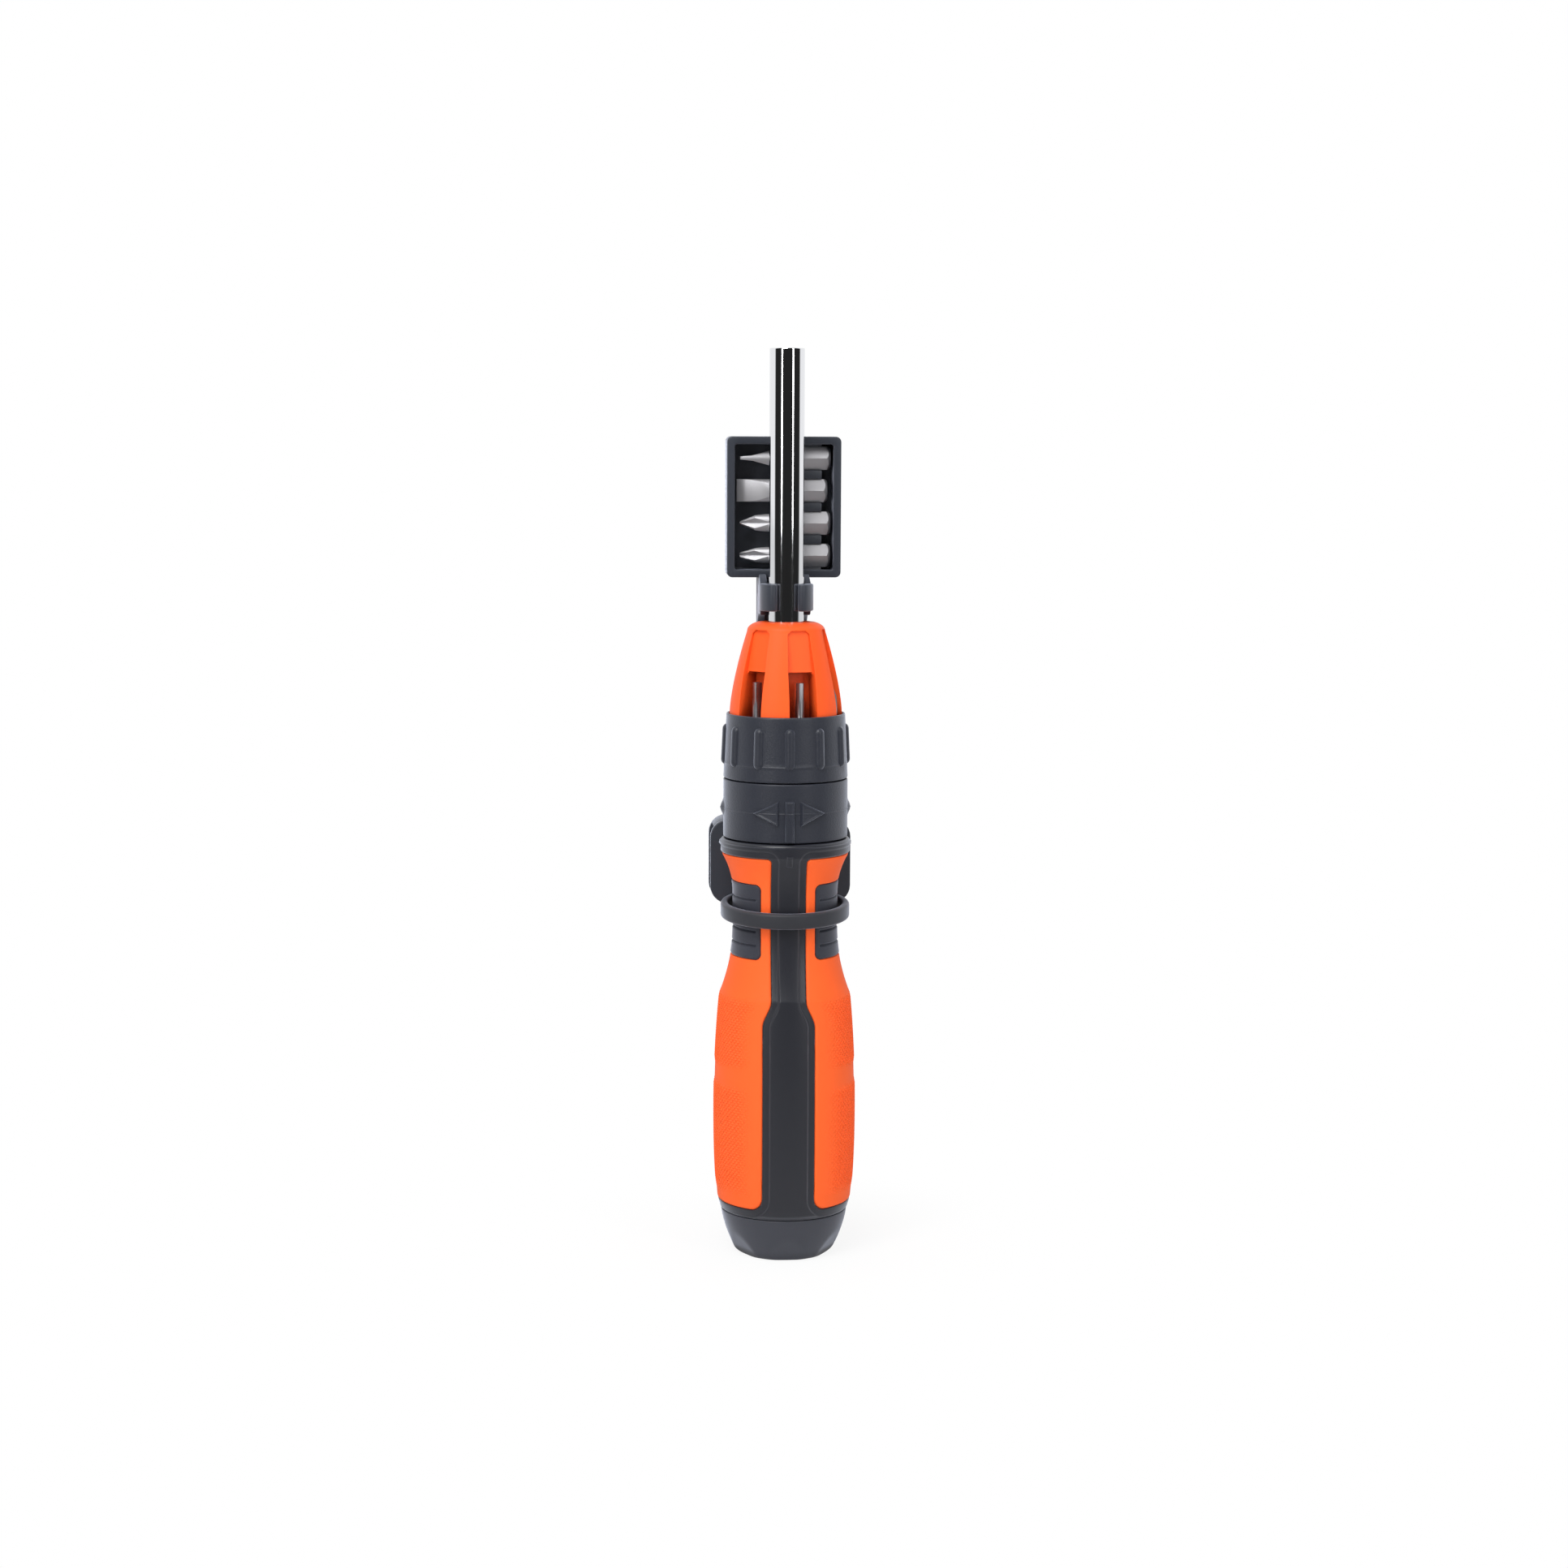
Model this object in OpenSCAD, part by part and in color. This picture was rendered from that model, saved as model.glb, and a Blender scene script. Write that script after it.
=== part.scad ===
// Ratcheting screwdriver with spare bits in its nose and a bit holder with belt clip on its back.
// Millimetres. The tool stands on its end cap: the origin is the middle of the cap's flat foot,
// +Z runs up the shaft, the front stripe faces -Y and the holder is behind the tool, on +Y.

/* [End cap] */
// height of the cap below its seam with the handle
cap_h = 12.5; // [11:0.5:14]
// diameter of the cap at the seam
cap_d = 35; // [34:0.2:36]
// diameter of the flat foot
cap_foot_d = 24.4; // [22:0.2:26]
// number of grip flats round the foot
flat_count = 6; // [4:1:8]
// outside diameter of the screw-in spigot
spigot_d = 27; // [25.6:0.2:28]
// height of the spigot above the seam
spigot_h = 8.5; // [7:0.5:11]

/* [Handle] */
// length of the handle, from the cap's seam to the selector
handle_h = 104.1; // [98:0.5:112]
// largest diameter of the grip
belly_d = 38.7; // [37.6:0.1:41]
// diameter where the grip starts to narrow
shoulder_d = 35.6; // [34.6:0.1:36.6]
// diameter of the neck
neck_d = 28.6; // [27.8:0.1:29.6]
// diameter of the flange under the selector
flange_d = 35.6; // [34.8:0.1:36]
// height of the flange
flange_h = 3.6; // [3:0.1:4.4]
// thickness of the soft grips
grip_t = 2; // [1.6:0.1:2.4]
// width of the stripe along the neck
stripe_neck_w = 9.7; // [8:0.1:11]
// width of the stripe along the belly
stripe_belly_w = 14.5; // [12:0.1:17]
// height over which the stripe changes its width
stripe_change_h = 7.2; // [5:0.1:10]
// diameter of the hollow in the handle
hollow_d = 24; // [20:0.5:25]

/* [Neck pads] */
// height of a pad
pad_h = 20.7; // [18:0.1:22]
// distance of a pad's edge from the middle of the stripe
pad_edge = 7.5; // [6.6:0.1:9]
// number of grooves in a pad
groove_count = 3; // [2:1:4]

/* [Selector] */
// outside diameter of the selector ring
selector_d = 34.2; // [33.8:0.1:35]
// height of the selector ring
selector_h = 16.1; // [15.6:0.1:18]
// turn from the middle to either side, degrees
selector_travel = 20; // [16:1:24]
// height of the raised arrows
arrow_rise = 0.4; // [0.2:0.05:0.6]

/* [Ratchet] */
// number of ratchet teeth
tooth_count = 24; // [24:24:48]
// diameter over the teeth
gear_d = 17.2; // [16.8:0.1:17.3]
// depth of a tooth
tooth_h = 1.4; // [1.3:0.05:1.6]
// height of the toothed rim
gear_h = 6.4; // [5:0.1:6.8]

/* [Bit collar] */
// height of the collar
collar_h = 17.7; // [17:0.1:20]
// diameter of its upper rim
collar_rim_d = 32.6; // [32.3:0.1:33.4]
// number of grip ribs
rib_count = 12; // [6:6:18]
// width of a rib
rib_w = 2.8; // [2:0.1:3.4]
// height of a rib above the surface
rib_rise = 0.85; // [0.4:0.05:0.95]

/* [Nose cone] */
// height of the cone above the collar
cone_h = 25; // [22:0.5:30]
// diameter at the collar
cone_d = 30.9; // [30.5:0.1:31]
// diameter at the shoulder of the cone
cone_top_d = 21.3; // [20:0.1:23]
// height of the windows above the collar
window_h = 11.75; // [9:0.25:13]
// width of a window at the collar
window_w = 7.9; // [6.8:0.1:8]

/* [Shaft] */
// diameter of the shaft
shaft_d = 9.6; // [9.4:0.1:10.2]
// length of shaft standing out of the cone
shaft_reach = 74; // [70:1:110]
// depth of the hexagon socket
socket_depth = 13.5; // [10:0.5:16]

/* [Bits] */
// width across the flats of the bits
bit_af = 6.35; // [6.2:0.05:6.4]
// length of a bit
bit_len = 25; // [24.5:0.1:25.5]

/* [Bit holder] */
// room beside a bit's length in the tray
bit_room = 2.3; // [1.8:0.1:6]
// height of the tray
tray_h = 38.7; // [37:0.1:44]
// depth of the tray
tray_depth = 11; // [10.6:0.1:12.5]
// wall of the tray
tray_wall = 2.1; // [1.6:0.1:2.4]
// height of the spring clip on the shaft
clip_h = 7.3; // [6:0.1:8]
// wall of the spring clip
clip_wall = 2.5; // [2:0.1:3]
// width of the spine behind the tool
spine_w = 14; // [12:0.5:18]
// thickness of the spine and the paddle
spine_t = 2.2; // [1.8:0.1:2.8]
// width of the paddle
paddle_w = 39.6; // [36:0.2:44]
// height of the paddle
paddle_h = 23.9; // [23:0.1:27]

/* [Belt clip and loop] */
// gap for the belt
belt_gap = 6.1; // [5:0.1:9]
// thickness of the belt clip
belt_t = 2.2; // [1.8:0.1:2.6]
// height of the loop round the neck
loop_h = 3.8; // [3:0.1:4.4]
// thickness of the loop
loop_t = 2; // [1.4:0.1:2.2]

/* [Fits] */
// radial clearance of pieces that turn in one another
run_fit = 0.05; // [0.03:0.01:0.08]
// clearance of pieces that are seated together
seat_fit = 0.03; // [0.02:0.01:0.05]
// gap between rings that turn against each other
seam = 0.3; // [0.2:0.05:0.4]

/* [Hidden] */
$fn = 96;
black = [0.14, 0.14, 0.15];
soft_black = [0.2, 0.2, 0.21];
orange = [0.95, 0.32, 0.1];
steel = [0.62, 0.62, 0.64];
chrome = [0.8, 0.81, 0.83];
bronze = [0.65, 0.47, 0.25];
rubber = [0.09, 0.09, 0.09];

// heights of the handle
handle_z = cap_h;
flange_top = handle_z + handle_h;
flange_z = flange_top - flange_h;
grip_z0 = handle_z + 1.9;
grip_z1 = flange_z - 1.5;
belly_z = handle_z + 0.277 * handle_h;
shoulder_z = handle_z + 0.586 * handle_h;
neck_z0 = handle_z + 0.762 * handle_h;
neck_z1 = flange_z - 11.5;
pad_z0 = handle_z + 0.689 * handle_h;
pad_z1 = pad_z0 + pad_h;
cap_r = cap_d / 2;
flat_lean = 31;
thread_step = 0.4;
cap_floor = 3;
heel = 0.6;
heel_h = 3.3;
outer = belly_d;

// heights of the head
base_t = 2;
selector_z = flange_top + seam;
collar_z = selector_z + selector_h + seam;
collar_floor = 1.7;
bit_z = collar_z + collar_floor;
rim_h = 2;
deck_z = collar_z + collar_h - rim_h;
collar_top = collar_z + collar_h;
cone_top = collar_top + cone_h;
shaft_top = cone_top + shaft_reach;

// the housing of the ratchet, its screws, and what turns in it
stem_h = 30.6;
stem_z = flange_top - stem_h;
stem_r = 8.4;
seat_r = 13.5;
seat_t = 2.6;
key_w = 2 * seat_r - 1.8;
screw_r = 1;
screw_head_r = 1.9;
screw_key_r = 0.9;
screw_len = 10;
screw_circle = seat_r - 2.5;
screw_places = [0, 180, 270];
plate_r = 14;
plate_z = flange_top + base_t;
washer_t = 0.7;
gear_z = plate_z + washer_t + 0.2;
cover_z = gear_z + gear_h + 0.7;
cover_t = 1.6;
cover_screw_len = 6;
post_places = [225, 315];
guide_r = plate_r + 0.1;
cam_r = plate_r + 0.6;
shaft_r = shaft_d / 2;
journal_r = shaft_r - 0.3;
bush_r = journal_r + 1.9;
drive_r = journal_r - 0.05;
drive_w = 2 * journal_r - 1.2;
gear_r = gear_d / 2;
root_r = gear_r - tooth_h;
hub_r = root_r - 0.8;
hub_z = cover_z + cover_t + 1.1;
post_r = 11.2;
post_d = 4;
bridge_r = 13;
bridge_d = 1.8;

// a pawl, as the left one: its pin, its nose in the teeth and its tail on the cam
pin_r = 1.25;
pin_a = 154.5;
nose_a = 112.5;
nose_r = gear_r - 0.5;
tail_a = 166.5;
tail_r = plate_r - 0.15;
tail_round = 0.9;
pawl_z = gear_z + 0.1;
pawl_h = gear_h - 0.2;
cam_rise = 0.25 / 20;
bump_rise = 0.85;

// the bits
hex_r = bit_af / 2 / cos(30);
shank_h = 11.5;
pocket_r = hex_r + 0.13;
bit_circle = 11.8;
socket_af = bit_af + 0.05;
magnet_r = 2.9;
magnet_h = 3;
shank_ease = 1.1;
small_blade_r = 1.3;
key_af = 2;
square_af = 1.8;
square_turn = -20;
key_h = 4.2;
key_runout = 3.6;
cross_h = 4.2;
cross_neck = 2.45;
point_lean = 2.5;
runout_lean = 24;
ring_z = shaft_top - 5;
ring_t = 0.8;

// the nose
rim_r = cone_d / 2 + 0.1;
cone_r = cone_d / 2;
cone_shoulder = cone_top - 2.3;
window_z = collar_top + window_h;
window_top_w = window_w - 0.3;
groove_top_w = window_w - 1.9;
groove_z = cone_top - 2;
groove_floor = 11.5;
groove_floor_top = 9.6;

// the holder
clip_z = cone_top + 3;
clip_r = shaft_r + 2 * run_fit;
clip_open = 41;
loop_in = neck_d / 2 + 1.4;
loop_out = loop_in + loop_t;
tray_z = clip_z + clip_h + 1.2;
tray_w = bit_len + bit_room + 2 * tray_wall;
shank_x = tray_w / 2 - tray_wall - 0.65;
spine_y = max(selector_d / 2 + max(bump_rise, rib_rise), flange_d / 2, loop_out) + 0.65;
spine_back = spine_y + spine_t;
tray_y = spine_back - tray_depth;
tray_r = 1.5;
tray_bits = 4;
bit_pitch = (tray_h - 2 * tray_wall - 7.7) / (tray_bits - 1);
bit_y = spine_back - tray_wall - hex_r - 0.3;
cradle_x0 = shank_x - 0.652 * bit_len;
cradle_x1 = shank_x - 0.1 * bit_len;
paddle_z1 = flange_top + 2.3;
paddle_z0 = paddle_z1 - paddle_h;
paddle_r = 5;
loop_z = paddle_z0 - 0.3;
leg_y = spine_back + seat_fit;
tongue_y = leg_y + belt_t + belt_gap;
stake_x = 8;
stake_z = paddle_z1 - 9;
stake_r = 1.8;

// radius of the handle's skin at height z
function handle_r(z) =
  z < belly_z ? belly_d / 2 - (belly_d / 2 - cap_r - heel) * pow((belly_z - z) / (belly_z - handle_z), 2.5)
                - heel * pow(max(0, handle_z + heel_h - z) / heel_h, 2)
  : z < shoulder_z ? belly_d / 2 - (belly_d - shoulder_d) / 2 * pow((z - belly_z) / (shoulder_z - belly_z), 2)
  : z < neck_z0 ? neck_d / 2 + (shoulder_d - neck_d) / 2 * pow((neck_z0 - z) / (neck_z0 - shoulder_z), 2)
  : z < neck_z1 ? neck_d / 2
  : neck_d / 2 + (flange_d - neck_d) / 2 * pow(min(1, (z - neck_z1) / (flange_z - neck_z1)), 2);

// heights at which that skin has a corner
function steps(a, b, n) = [for (i = [0 : n - 1]) a + (b - a) * i / n];
function stations() = concat(
  steps(handle_z, handle_z + heel_h, 3), steps(handle_z + heel_h, belly_z, 4),
  steps(belly_z, shoulder_z, 6), steps(shoulder_z, neck_z0, 6), steps(neck_z0, neck_z1, 1),
  steps(neck_z1, flange_z, 6));
function skin(z0, z1, inset) = concat(
  [[0, z0], [handle_r(z0) - inset, z0]],
  [for (z = stations()) if (z > z0 + 0.2 && z < z1 - 0.2) [handle_r(z) - inset, z]],
  [[handle_r(z1) - inset, z1], [0, z1]]);

// points of an arc, and a point given by radius and angle
function arc(x, y, r, a0, a1, n) =
  [for (i = [0 : n]) let (a = a0 + (a1 - a0) * i / n) [x + r * cos(a), y + r * sin(a)]];
function polar(r, a) = [r * cos(a), r * sin(a)];

// radius of the cap and of the nose cone
function cap_skin(z) = cap_r - 4.2 * pow(1 - z / cap_h, 1.5);
function cone_skin(z) = cone_r - (cone_d - cone_top_d) / 2
  * pow(max(0, (z - collar_top) / (cone_shoulder - collar_top)), 1.47);

// a turned piece, from its outline in radius and height
module turned(outline) {
  rotate_extrude() polygon(outline);
}

// a tube
module tube(r0, r1, z0, z1) {
  difference() {
    translate([0, 0, z0]) cylinder(r = r1, h = z1 - z0);
    translate([0, 0, z0 - 1]) cylinder(r = r0, h = z1 - z0 + 2);
  }
}

// a front-view outline, drawn in x and z, as thick as from y0 to y1
module along_y(y0, y1) {
  translate([0, y1, 0]) rotate([90, 0, 0]) linear_extrude(y1 - y0) children();
}

// a plan-view outline from z0 to z1
module along_z(z0, z1) {
  translate([0, 0, z0]) linear_extrude(z1 - z0) children();
}

// a rectangle with round corners
module rounded(x0, y0, x1, y1, r) {
  polygon(concat(
    arc(x1 - r, y1 - r, r, 0, 90, 6), arc(x0 + r, y1 - r, r, 90, 180, 6),
    arc(x0 + r, y0 + r, r, 180, 270, 6), arc(x1 - r, y0 + r, r, 270, 360, 6)));
}

// a round bar with the two flats of the drive
module drive_bar(r, w, z0, z1) {
  intersection() {
    translate([0, 0, z0]) cylinder(r = r, h = z1 - z0);
    translate([-w / 2, -r - 1, z0 - 1]) cube([w, 2 * r + 2, z1 - z0 + 2]);
  }
}

// outline of the right-hand grip, seen from the front
module panel(ease) {
  low = stripe_belly_w / 2 + ease;
  high = stripe_neck_w / 2 + ease;
  foot = 3.3;
  top = 1.3;
  z0 = grip_z0 + ease;
  z1 = grip_z1 - ease;
  polygon(concat(
    [[outer, z0]], arc(low + foot, z0 + foot, foot, 270, 180, 5),
    [for (i = [0 : 8]) let (t = i / 8)
      [low + (high - low) * t * t * (3 - 2 * t), shoulder_z - stripe_change_h * (1 - t)]],
    arc(high + top, z1 - top, top, 180, 90, 4), [[outer, z1]]));
}

// outline of the right-hand neck pad, seen from the front
module pad_outline(ease) {
  rounded(pad_edge + ease, pad_z0 + ease, outer, pad_z1 - ease, 1.5);
}

// a grip of the right-hand side
module grip() {
  difference() {
    intersection() {
      turned(skin(grip_z0 - 0.5, grip_z1 + 0.5, 0));
      along_y(-outer, outer) panel(seat_fit);
    }
    turned(skin(grip_z0 - 1, grip_z1 + 1, grip_t));
    along_y(-outer, outer) pad_outline(0);
  }
}

// a neck pad of the right-hand side, with its grooves
module pad() {
  difference() {
    intersection() {
      turned(skin(pad_z0 - 1, pad_z1 + 1, -0.15));
      along_y(-outer, outer) pad_outline(seat_fit);
    }
    turned(skin(pad_z0 - 2, pad_z1 + 2, grip_t));
    for (i = [1 : groove_count])
      tube(neck_d / 2 - 0.45, outer, pad_z0 + 1.3 + (pad_h - 4) * (i - 0.3) / groove_count - 0.55,
           pad_z0 + 1.3 + (pad_h - 4) * (i - 0.3) / groove_count + 0.55);
  }
}

module handle_core() {
  color(black)
  difference() {
    turned(concat(
      [for (p = skin(handle_z, flange_z, 0)) if (p[0] > 0 || p[1] < flange_z) p],
      arc(flange_d / 2 - 1, flange_top - 1, 1, 0, 90, 4), [[0, flange_top]]));
    difference() {
      along_y(-outer, outer) union() {
        panel(0);
        mirror([1, 0]) panel(0);
      }
      turned(skin(grip_z0 - 1, grip_z1 + 1, grip_t + seat_fit));
    }
    turned([
      [0, handle_z - 1], [spigot_d / 2 + 1.7, handle_z - 1], [spigot_d / 2 + 1.7, handle_z + 1.2],
      [spigot_d / 2 + 0.1, handle_z + 1.2], [spigot_d / 2 + 0.1, handle_z + spigot_h + 1],
      [hollow_d / 2, handle_z + spigot_h + 2], [hollow_d / 2, stem_z - 14], [0, stem_z - 14]]);
    translate([0, 0, stem_z - 6]) cylinder(r = 7.5, h = 7);
    translate([0, 0, stem_z]) cylinder(r = stem_r + seat_fit, h = flange_top - stem_z + 1);
    drive_bar(seat_r + seat_fit, key_w + 2 * seat_fit, flange_top - seat_t, flange_top + 1);
    for (a = screw_places)
      rotate(a) translate([screw_circle, 0, flange_top - screw_len - 0.2])
        cylinder(r = screw_r + seat_fit, h = screw_len + 2);
  }
}

module grip_left() {
  color(orange) mirror([1, 0, 0]) grip();
}

module grip_right() {
  color(orange) grip();
}

module neck_pad_left() {
  color(soft_black) mirror([1, 0, 0]) pad();
}

module neck_pad_right() {
  color(soft_black) pad();
}

module ratchet_housing() {
  color([0.45, 0.46, 0.48])
  difference() {
    union() {
      translate([0, 0, stem_z]) cylinder(r = stem_r, h = flange_top - stem_z);
      drive_bar(seat_r, key_w, flange_top - seat_t + seat_fit, flange_top + 0.5);
      translate([0, 0, flange_top]) cylinder(r = plate_r, h = base_t);
      for (a = post_places)
        rotate(a) translate([post_r, 0, flange_top]) cylinder(d = post_d, h = cover_z - flange_top);
      rotate(90) translate([bridge_r, 0, flange_top]) cylinder(d = bridge_d, h = cover_z - flange_top);
    }
    translate([0, 0, stem_z - 1]) cylinder(r = bush_r + seat_fit, h = plate_z - stem_z + 2);
    for (a = screw_places)
      rotate(a) translate([screw_circle, 0, flange_top - seat_t - 1]) {
        cylinder(r = screw_r + seat_fit, h = seat_t + base_t + 2);
        translate([0, 0, seat_t + 1.4]) cylinder(r = screw_head_r + seat_fit, h = base_t + 1);
      }
    for (a = [pin_a, 180 - pin_a])
      rotate(a) translate([post_r, 0, flange_top - 0.2]) cylinder(r = pin_r + seat_fit, h = base_t + 1);
    for (a = post_places)
      rotate(a) translate([post_r, 0, cover_z - cover_screw_len - 0.2])
        cylinder(r = screw_r + seat_fit, h = cover_screw_len + 1);
  }
}

module housing_screws() {
  color(steel)
  for (a = screw_places)
    rotate(a) translate([screw_circle, 0, 0]) difference() {
      union() {
        translate([0, 0, flange_top - screw_len]) cylinder(r = screw_r, h = screw_len + 1);
        translate([0, 0, flange_top + 0.45]) cylinder(r = screw_head_r, h = base_t - 0.5);
      }
      translate([0, 0, plate_z - 0.9]) cylinder(r = screw_key_r, h = 2, $fn = 6);
    }
}

module spindle_bush() {
  color(bronze) tube(journal_r + run_fit, bush_r, stem_z, plate_z - 0.1);
}

module thrust_washer() {
  color(bronze) tube(journal_r + 0.1, hub_r, plate_z + 0.1, plate_z + washer_t);
}

module pawl_pins() {
  color(steel)
  for (a = [pin_a, 180 - pin_a])
    rotate(a) translate([post_r, 0, flange_top - 0.15]) cylinder(r = pin_r, h = cover_z - flange_top);
}

// the left pawl: the lever with its nose, the boss round its pin and the tail
module pawl() {
  wide = 0.15 + 1.5 * tan(24);
  side = atan(wide / (nose_r + 1.5));
  pin = polar(post_r, pin_a);
  z1 = pawl_z + pawl_h;
  difference() {
    union() {
      along_z(pawl_z, z1) polygon([
        polar(nose_r, nose_a - 1), polar(nose_r, nose_a + 1), polar(nose_r + 1.5, nose_a + side),
        polar(9.8, pin_a - 9), pin, polar(13, pin_a - 5), polar(12.9, nose_a + 20), polar(12.3, nose_a + 5),
        polar(11.6, nose_a - 3), polar(nose_r + 1.5, nose_a - side)]);
      along_z(pawl_z, z1) translate(pin) circle(2);
      along_z(pawl_z, z1) polygon([
        polar(post_r - 0.9, pin_a + 2), polar(tail_r - 1.8 * tail_round, tail_a + 1),
        polar(tail_r - tail_round, tail_a),
        polar(tail_r - 0.2 * tail_round, tail_a - 1), polar(post_r + 1.5, pin_a)]);
      along_z(pawl_z, z1) translate(polar(tail_r - tail_round, tail_a)) circle(tail_round);
    }
    along_z(pawl_z - 1, z1 + 1) translate(pin) circle(pin_r + run_fit);
  }
}

module pawl_left() {
  color(steel) pawl();
}

module pawl_right() {
  color(steel) mirror([1, 0, 0]) pawl();
}

// the bow that presses both pawls into the teeth, held by the slim post behind it
module pawl_spring() {
  bow = bridge_r - bridge_d / 2 - 0.35;
  color(steel)
  along_z(pawl_z + 1.4, pawl_z + pawl_h - 1.4)
    polygon(concat(
      [for (i = [-7 : 7]) polar(bow + 0.2 + 0.95 * pow(i / 7, 2), 90 + 4 * i)],
      [for (i = [7 : -1 : -7]) polar(bow - 0.2 + 0.95 * pow(i / 7, 2), 90 + 4 * i)]));
}

// the leaf whose bump drops into the selector's notches, hooked behind the two posts
module detent_spring() {
  r0 = post_r + post_d / 2 + 0.2;
  z0 = pawl_z + 1.2;
  z1 = pawl_z + pawl_h - 1.2;
  color(steel)
  union() {
    along_z(z0, z1) polygon(concat(
      [for (i = [0 : 14]) polar(r0 + 0.4, 211 + 118 * i / 14)],
      [for (i = [14 : -1 : 0]) polar(r0, 211 + 118 * i / 14)]));
    for (a = [211, 327.6])
      along_z(z0, z1) polygon([
        polar(r0 - 2.2, a), polar(r0 + 0.2, a), polar(r0 + 0.2, a + 1.4), polar(r0 - 2.2, a + 1.6)]);
    along_z(z0, z1) translate(polar(r0 + 0.5, 270)) circle(0.9);
  }
}

module pawl_cover() {
  color([0.45, 0.46, 0.48])
  difference() {
    tube(hub_r + 0.4, plate_r, cover_z, cover_z + cover_t);
    for (a = post_places)
      rotate(a) translate([post_r, 0, cover_z - 1]) cylinder(r = screw_r + seat_fit, h = cover_t + 2);
  }
}

module cover_screws() {
  color(steel)
  for (a = post_places)
    rotate(a) translate([post_r, 0, 0]) difference() {
      union() {
        translate([0, 0, cover_z - cover_screw_len])
          cylinder(r = screw_r, h = cover_screw_len + cover_t + 0.4);
        translate([0, 0, cover_z + cover_t]) cylinder(r = screw_head_r + 0.1, h = 1.2);
      }
      translate([0, 0, cover_z + cover_t + 0.5]) cylinder(r = screw_key_r, h = 2, $fn = 6);
    }
}

// the selector's raised marks, seen from the front
module arrows() {
  z = selector_z + selector_h / 2;
  for (s = [-1, 1])
    polygon([[s * 2.9, z - 3.45], [s * 9.8, z], [s * 2.9, z + 3.45]]);
  polygon([[-1.2, selector_z], [1.2, selector_z], [1.2, z + 3.45], [-1.2, z + 3.45]]);
}

module selector_ring() {
  r = selector_d / 2;
  z0 = selector_z;
  z1 = selector_z + selector_h;
  color(black)
  difference() {
    union() {
      turned([
        [guide_r, z0], [r - 0.4, z0], [r, z0 + 0.4], [r, z1 - 0.4], [r - 0.4, z1], [guide_r, z1],
        [guide_r, cover_z], [cam_r, cover_z], [cam_r, plate_z], [guide_r, plate_z]]);
      intersection() {
        tube(r - 0.5, r + arrow_rise, z0, z1);
        along_y(-outer, 0) arrows();
      }
      for (s = [-1, 1])
        intersection() {
          tube(cam_r, r + 2, z0, z1);
          translate([s * (r + bump_rise - 3.5), 0, z0 + selector_h / 2]) sphere(3.5);
        }
      along_z(plate_z, cover_z) {
        cam();
        mirror([1, 0]) cam();
      }
    }
    for (i = [-1 : 1])
      rotate(270 + i * selector_travel) translate([cam_r, 0, plate_z])
        cylinder(r = 1.2, h = cover_z - plate_z);
  }
}

// plan view of the spiral that leads the left pawl's tail
module cam() {
  a0 = tail_a - selector_travel - 2;
  a1 = tail_a + selector_travel + 3.5;
  polygon(concat(
    [for (i = [0 : 9]) let (a = a0 + (a1 - a0) * i / 9) polar(plate_r + cam_rise * (a - tail_a), a)],
    [for (i = [9 : -1 : 0]) let (a = a0 + (a1 - a0) * i / 9) polar(cam_r + 0.4, a)]));
}

module shaft() {
  color(chrome)
  difference() {
    union() {
      turned([
        [0, stem_z - 4.5], [journal_r - 0.6, stem_z - 4.5],
        [journal_r, stem_z - 3.9], [journal_r, stem_z - 1.15],
        [journal_r - 0.8, stem_z - 1.15], [journal_r - 0.8, stem_z - 0.15], [journal_r, stem_z - 0.15],
        [journal_r, plate_z - 0.9], [0, plate_z - 0.9]]);
      drive_bar(drive_r, drive_w, plate_z - 1.9, deck_z + 1);
      turned([
        [0, deck_z], [shaft_r, deck_z], [shaft_r, shaft_top - 0.6],
        [shaft_r - 0.6, shaft_top], [0, shaft_top]]);
    }
    translate([0, 0, shaft_top - socket_depth])
      cylinder(r = socket_af / 2 / cos(30), h = socket_depth + 1, $fn = 6);
    translate([0, 0, shaft_top - socket_depth - magnet_h])
      cylinder(r = magnet_r + seat_fit, h = magnet_h + 1);
    translate([0, 0, ring_z - seat_fit]) cylinder(r = 4.1, h = ring_t + 2 * seat_fit);
  }
}

module shaft_circlip() {
  color(steel)
  difference() {
    tube(journal_r - 0.8 + seat_fit, bush_r, stem_z - 1.1, stem_z - 0.2);
    translate([-1.5, -20, stem_z - 2]) cube([3, 20, 3]);
  }
}

// a toothed disc, one tooth on +Y
module ratchet_gear() {
  step = 360 / tooth_count;
  color(steel)
  difference() {
    union() {
      along_z(gear_z, gear_z + gear_h)
        polygon([for (i = [0 : tooth_count - 1]) for (p = [[-0.36, 0], [-0.09, 1], [0.09, 1], [0.36, 0]])
          polar(root_r + tooth_h * p[1], 90 + step * (i + p[0]))]);
      translate([0, 0, gear_z]) cylinder(r = hub_r, h = hub_z - gear_z);
    }
    drive_bar(drive_r + seat_fit, drive_w + 2 * seat_fit, gear_z - 1, hub_z + 1);
  }
}

// direction of one of the six bit places, counted from the front towards +X
module at_bit(i) {
  rotate(-75 + 60 * i) children();
}

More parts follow.
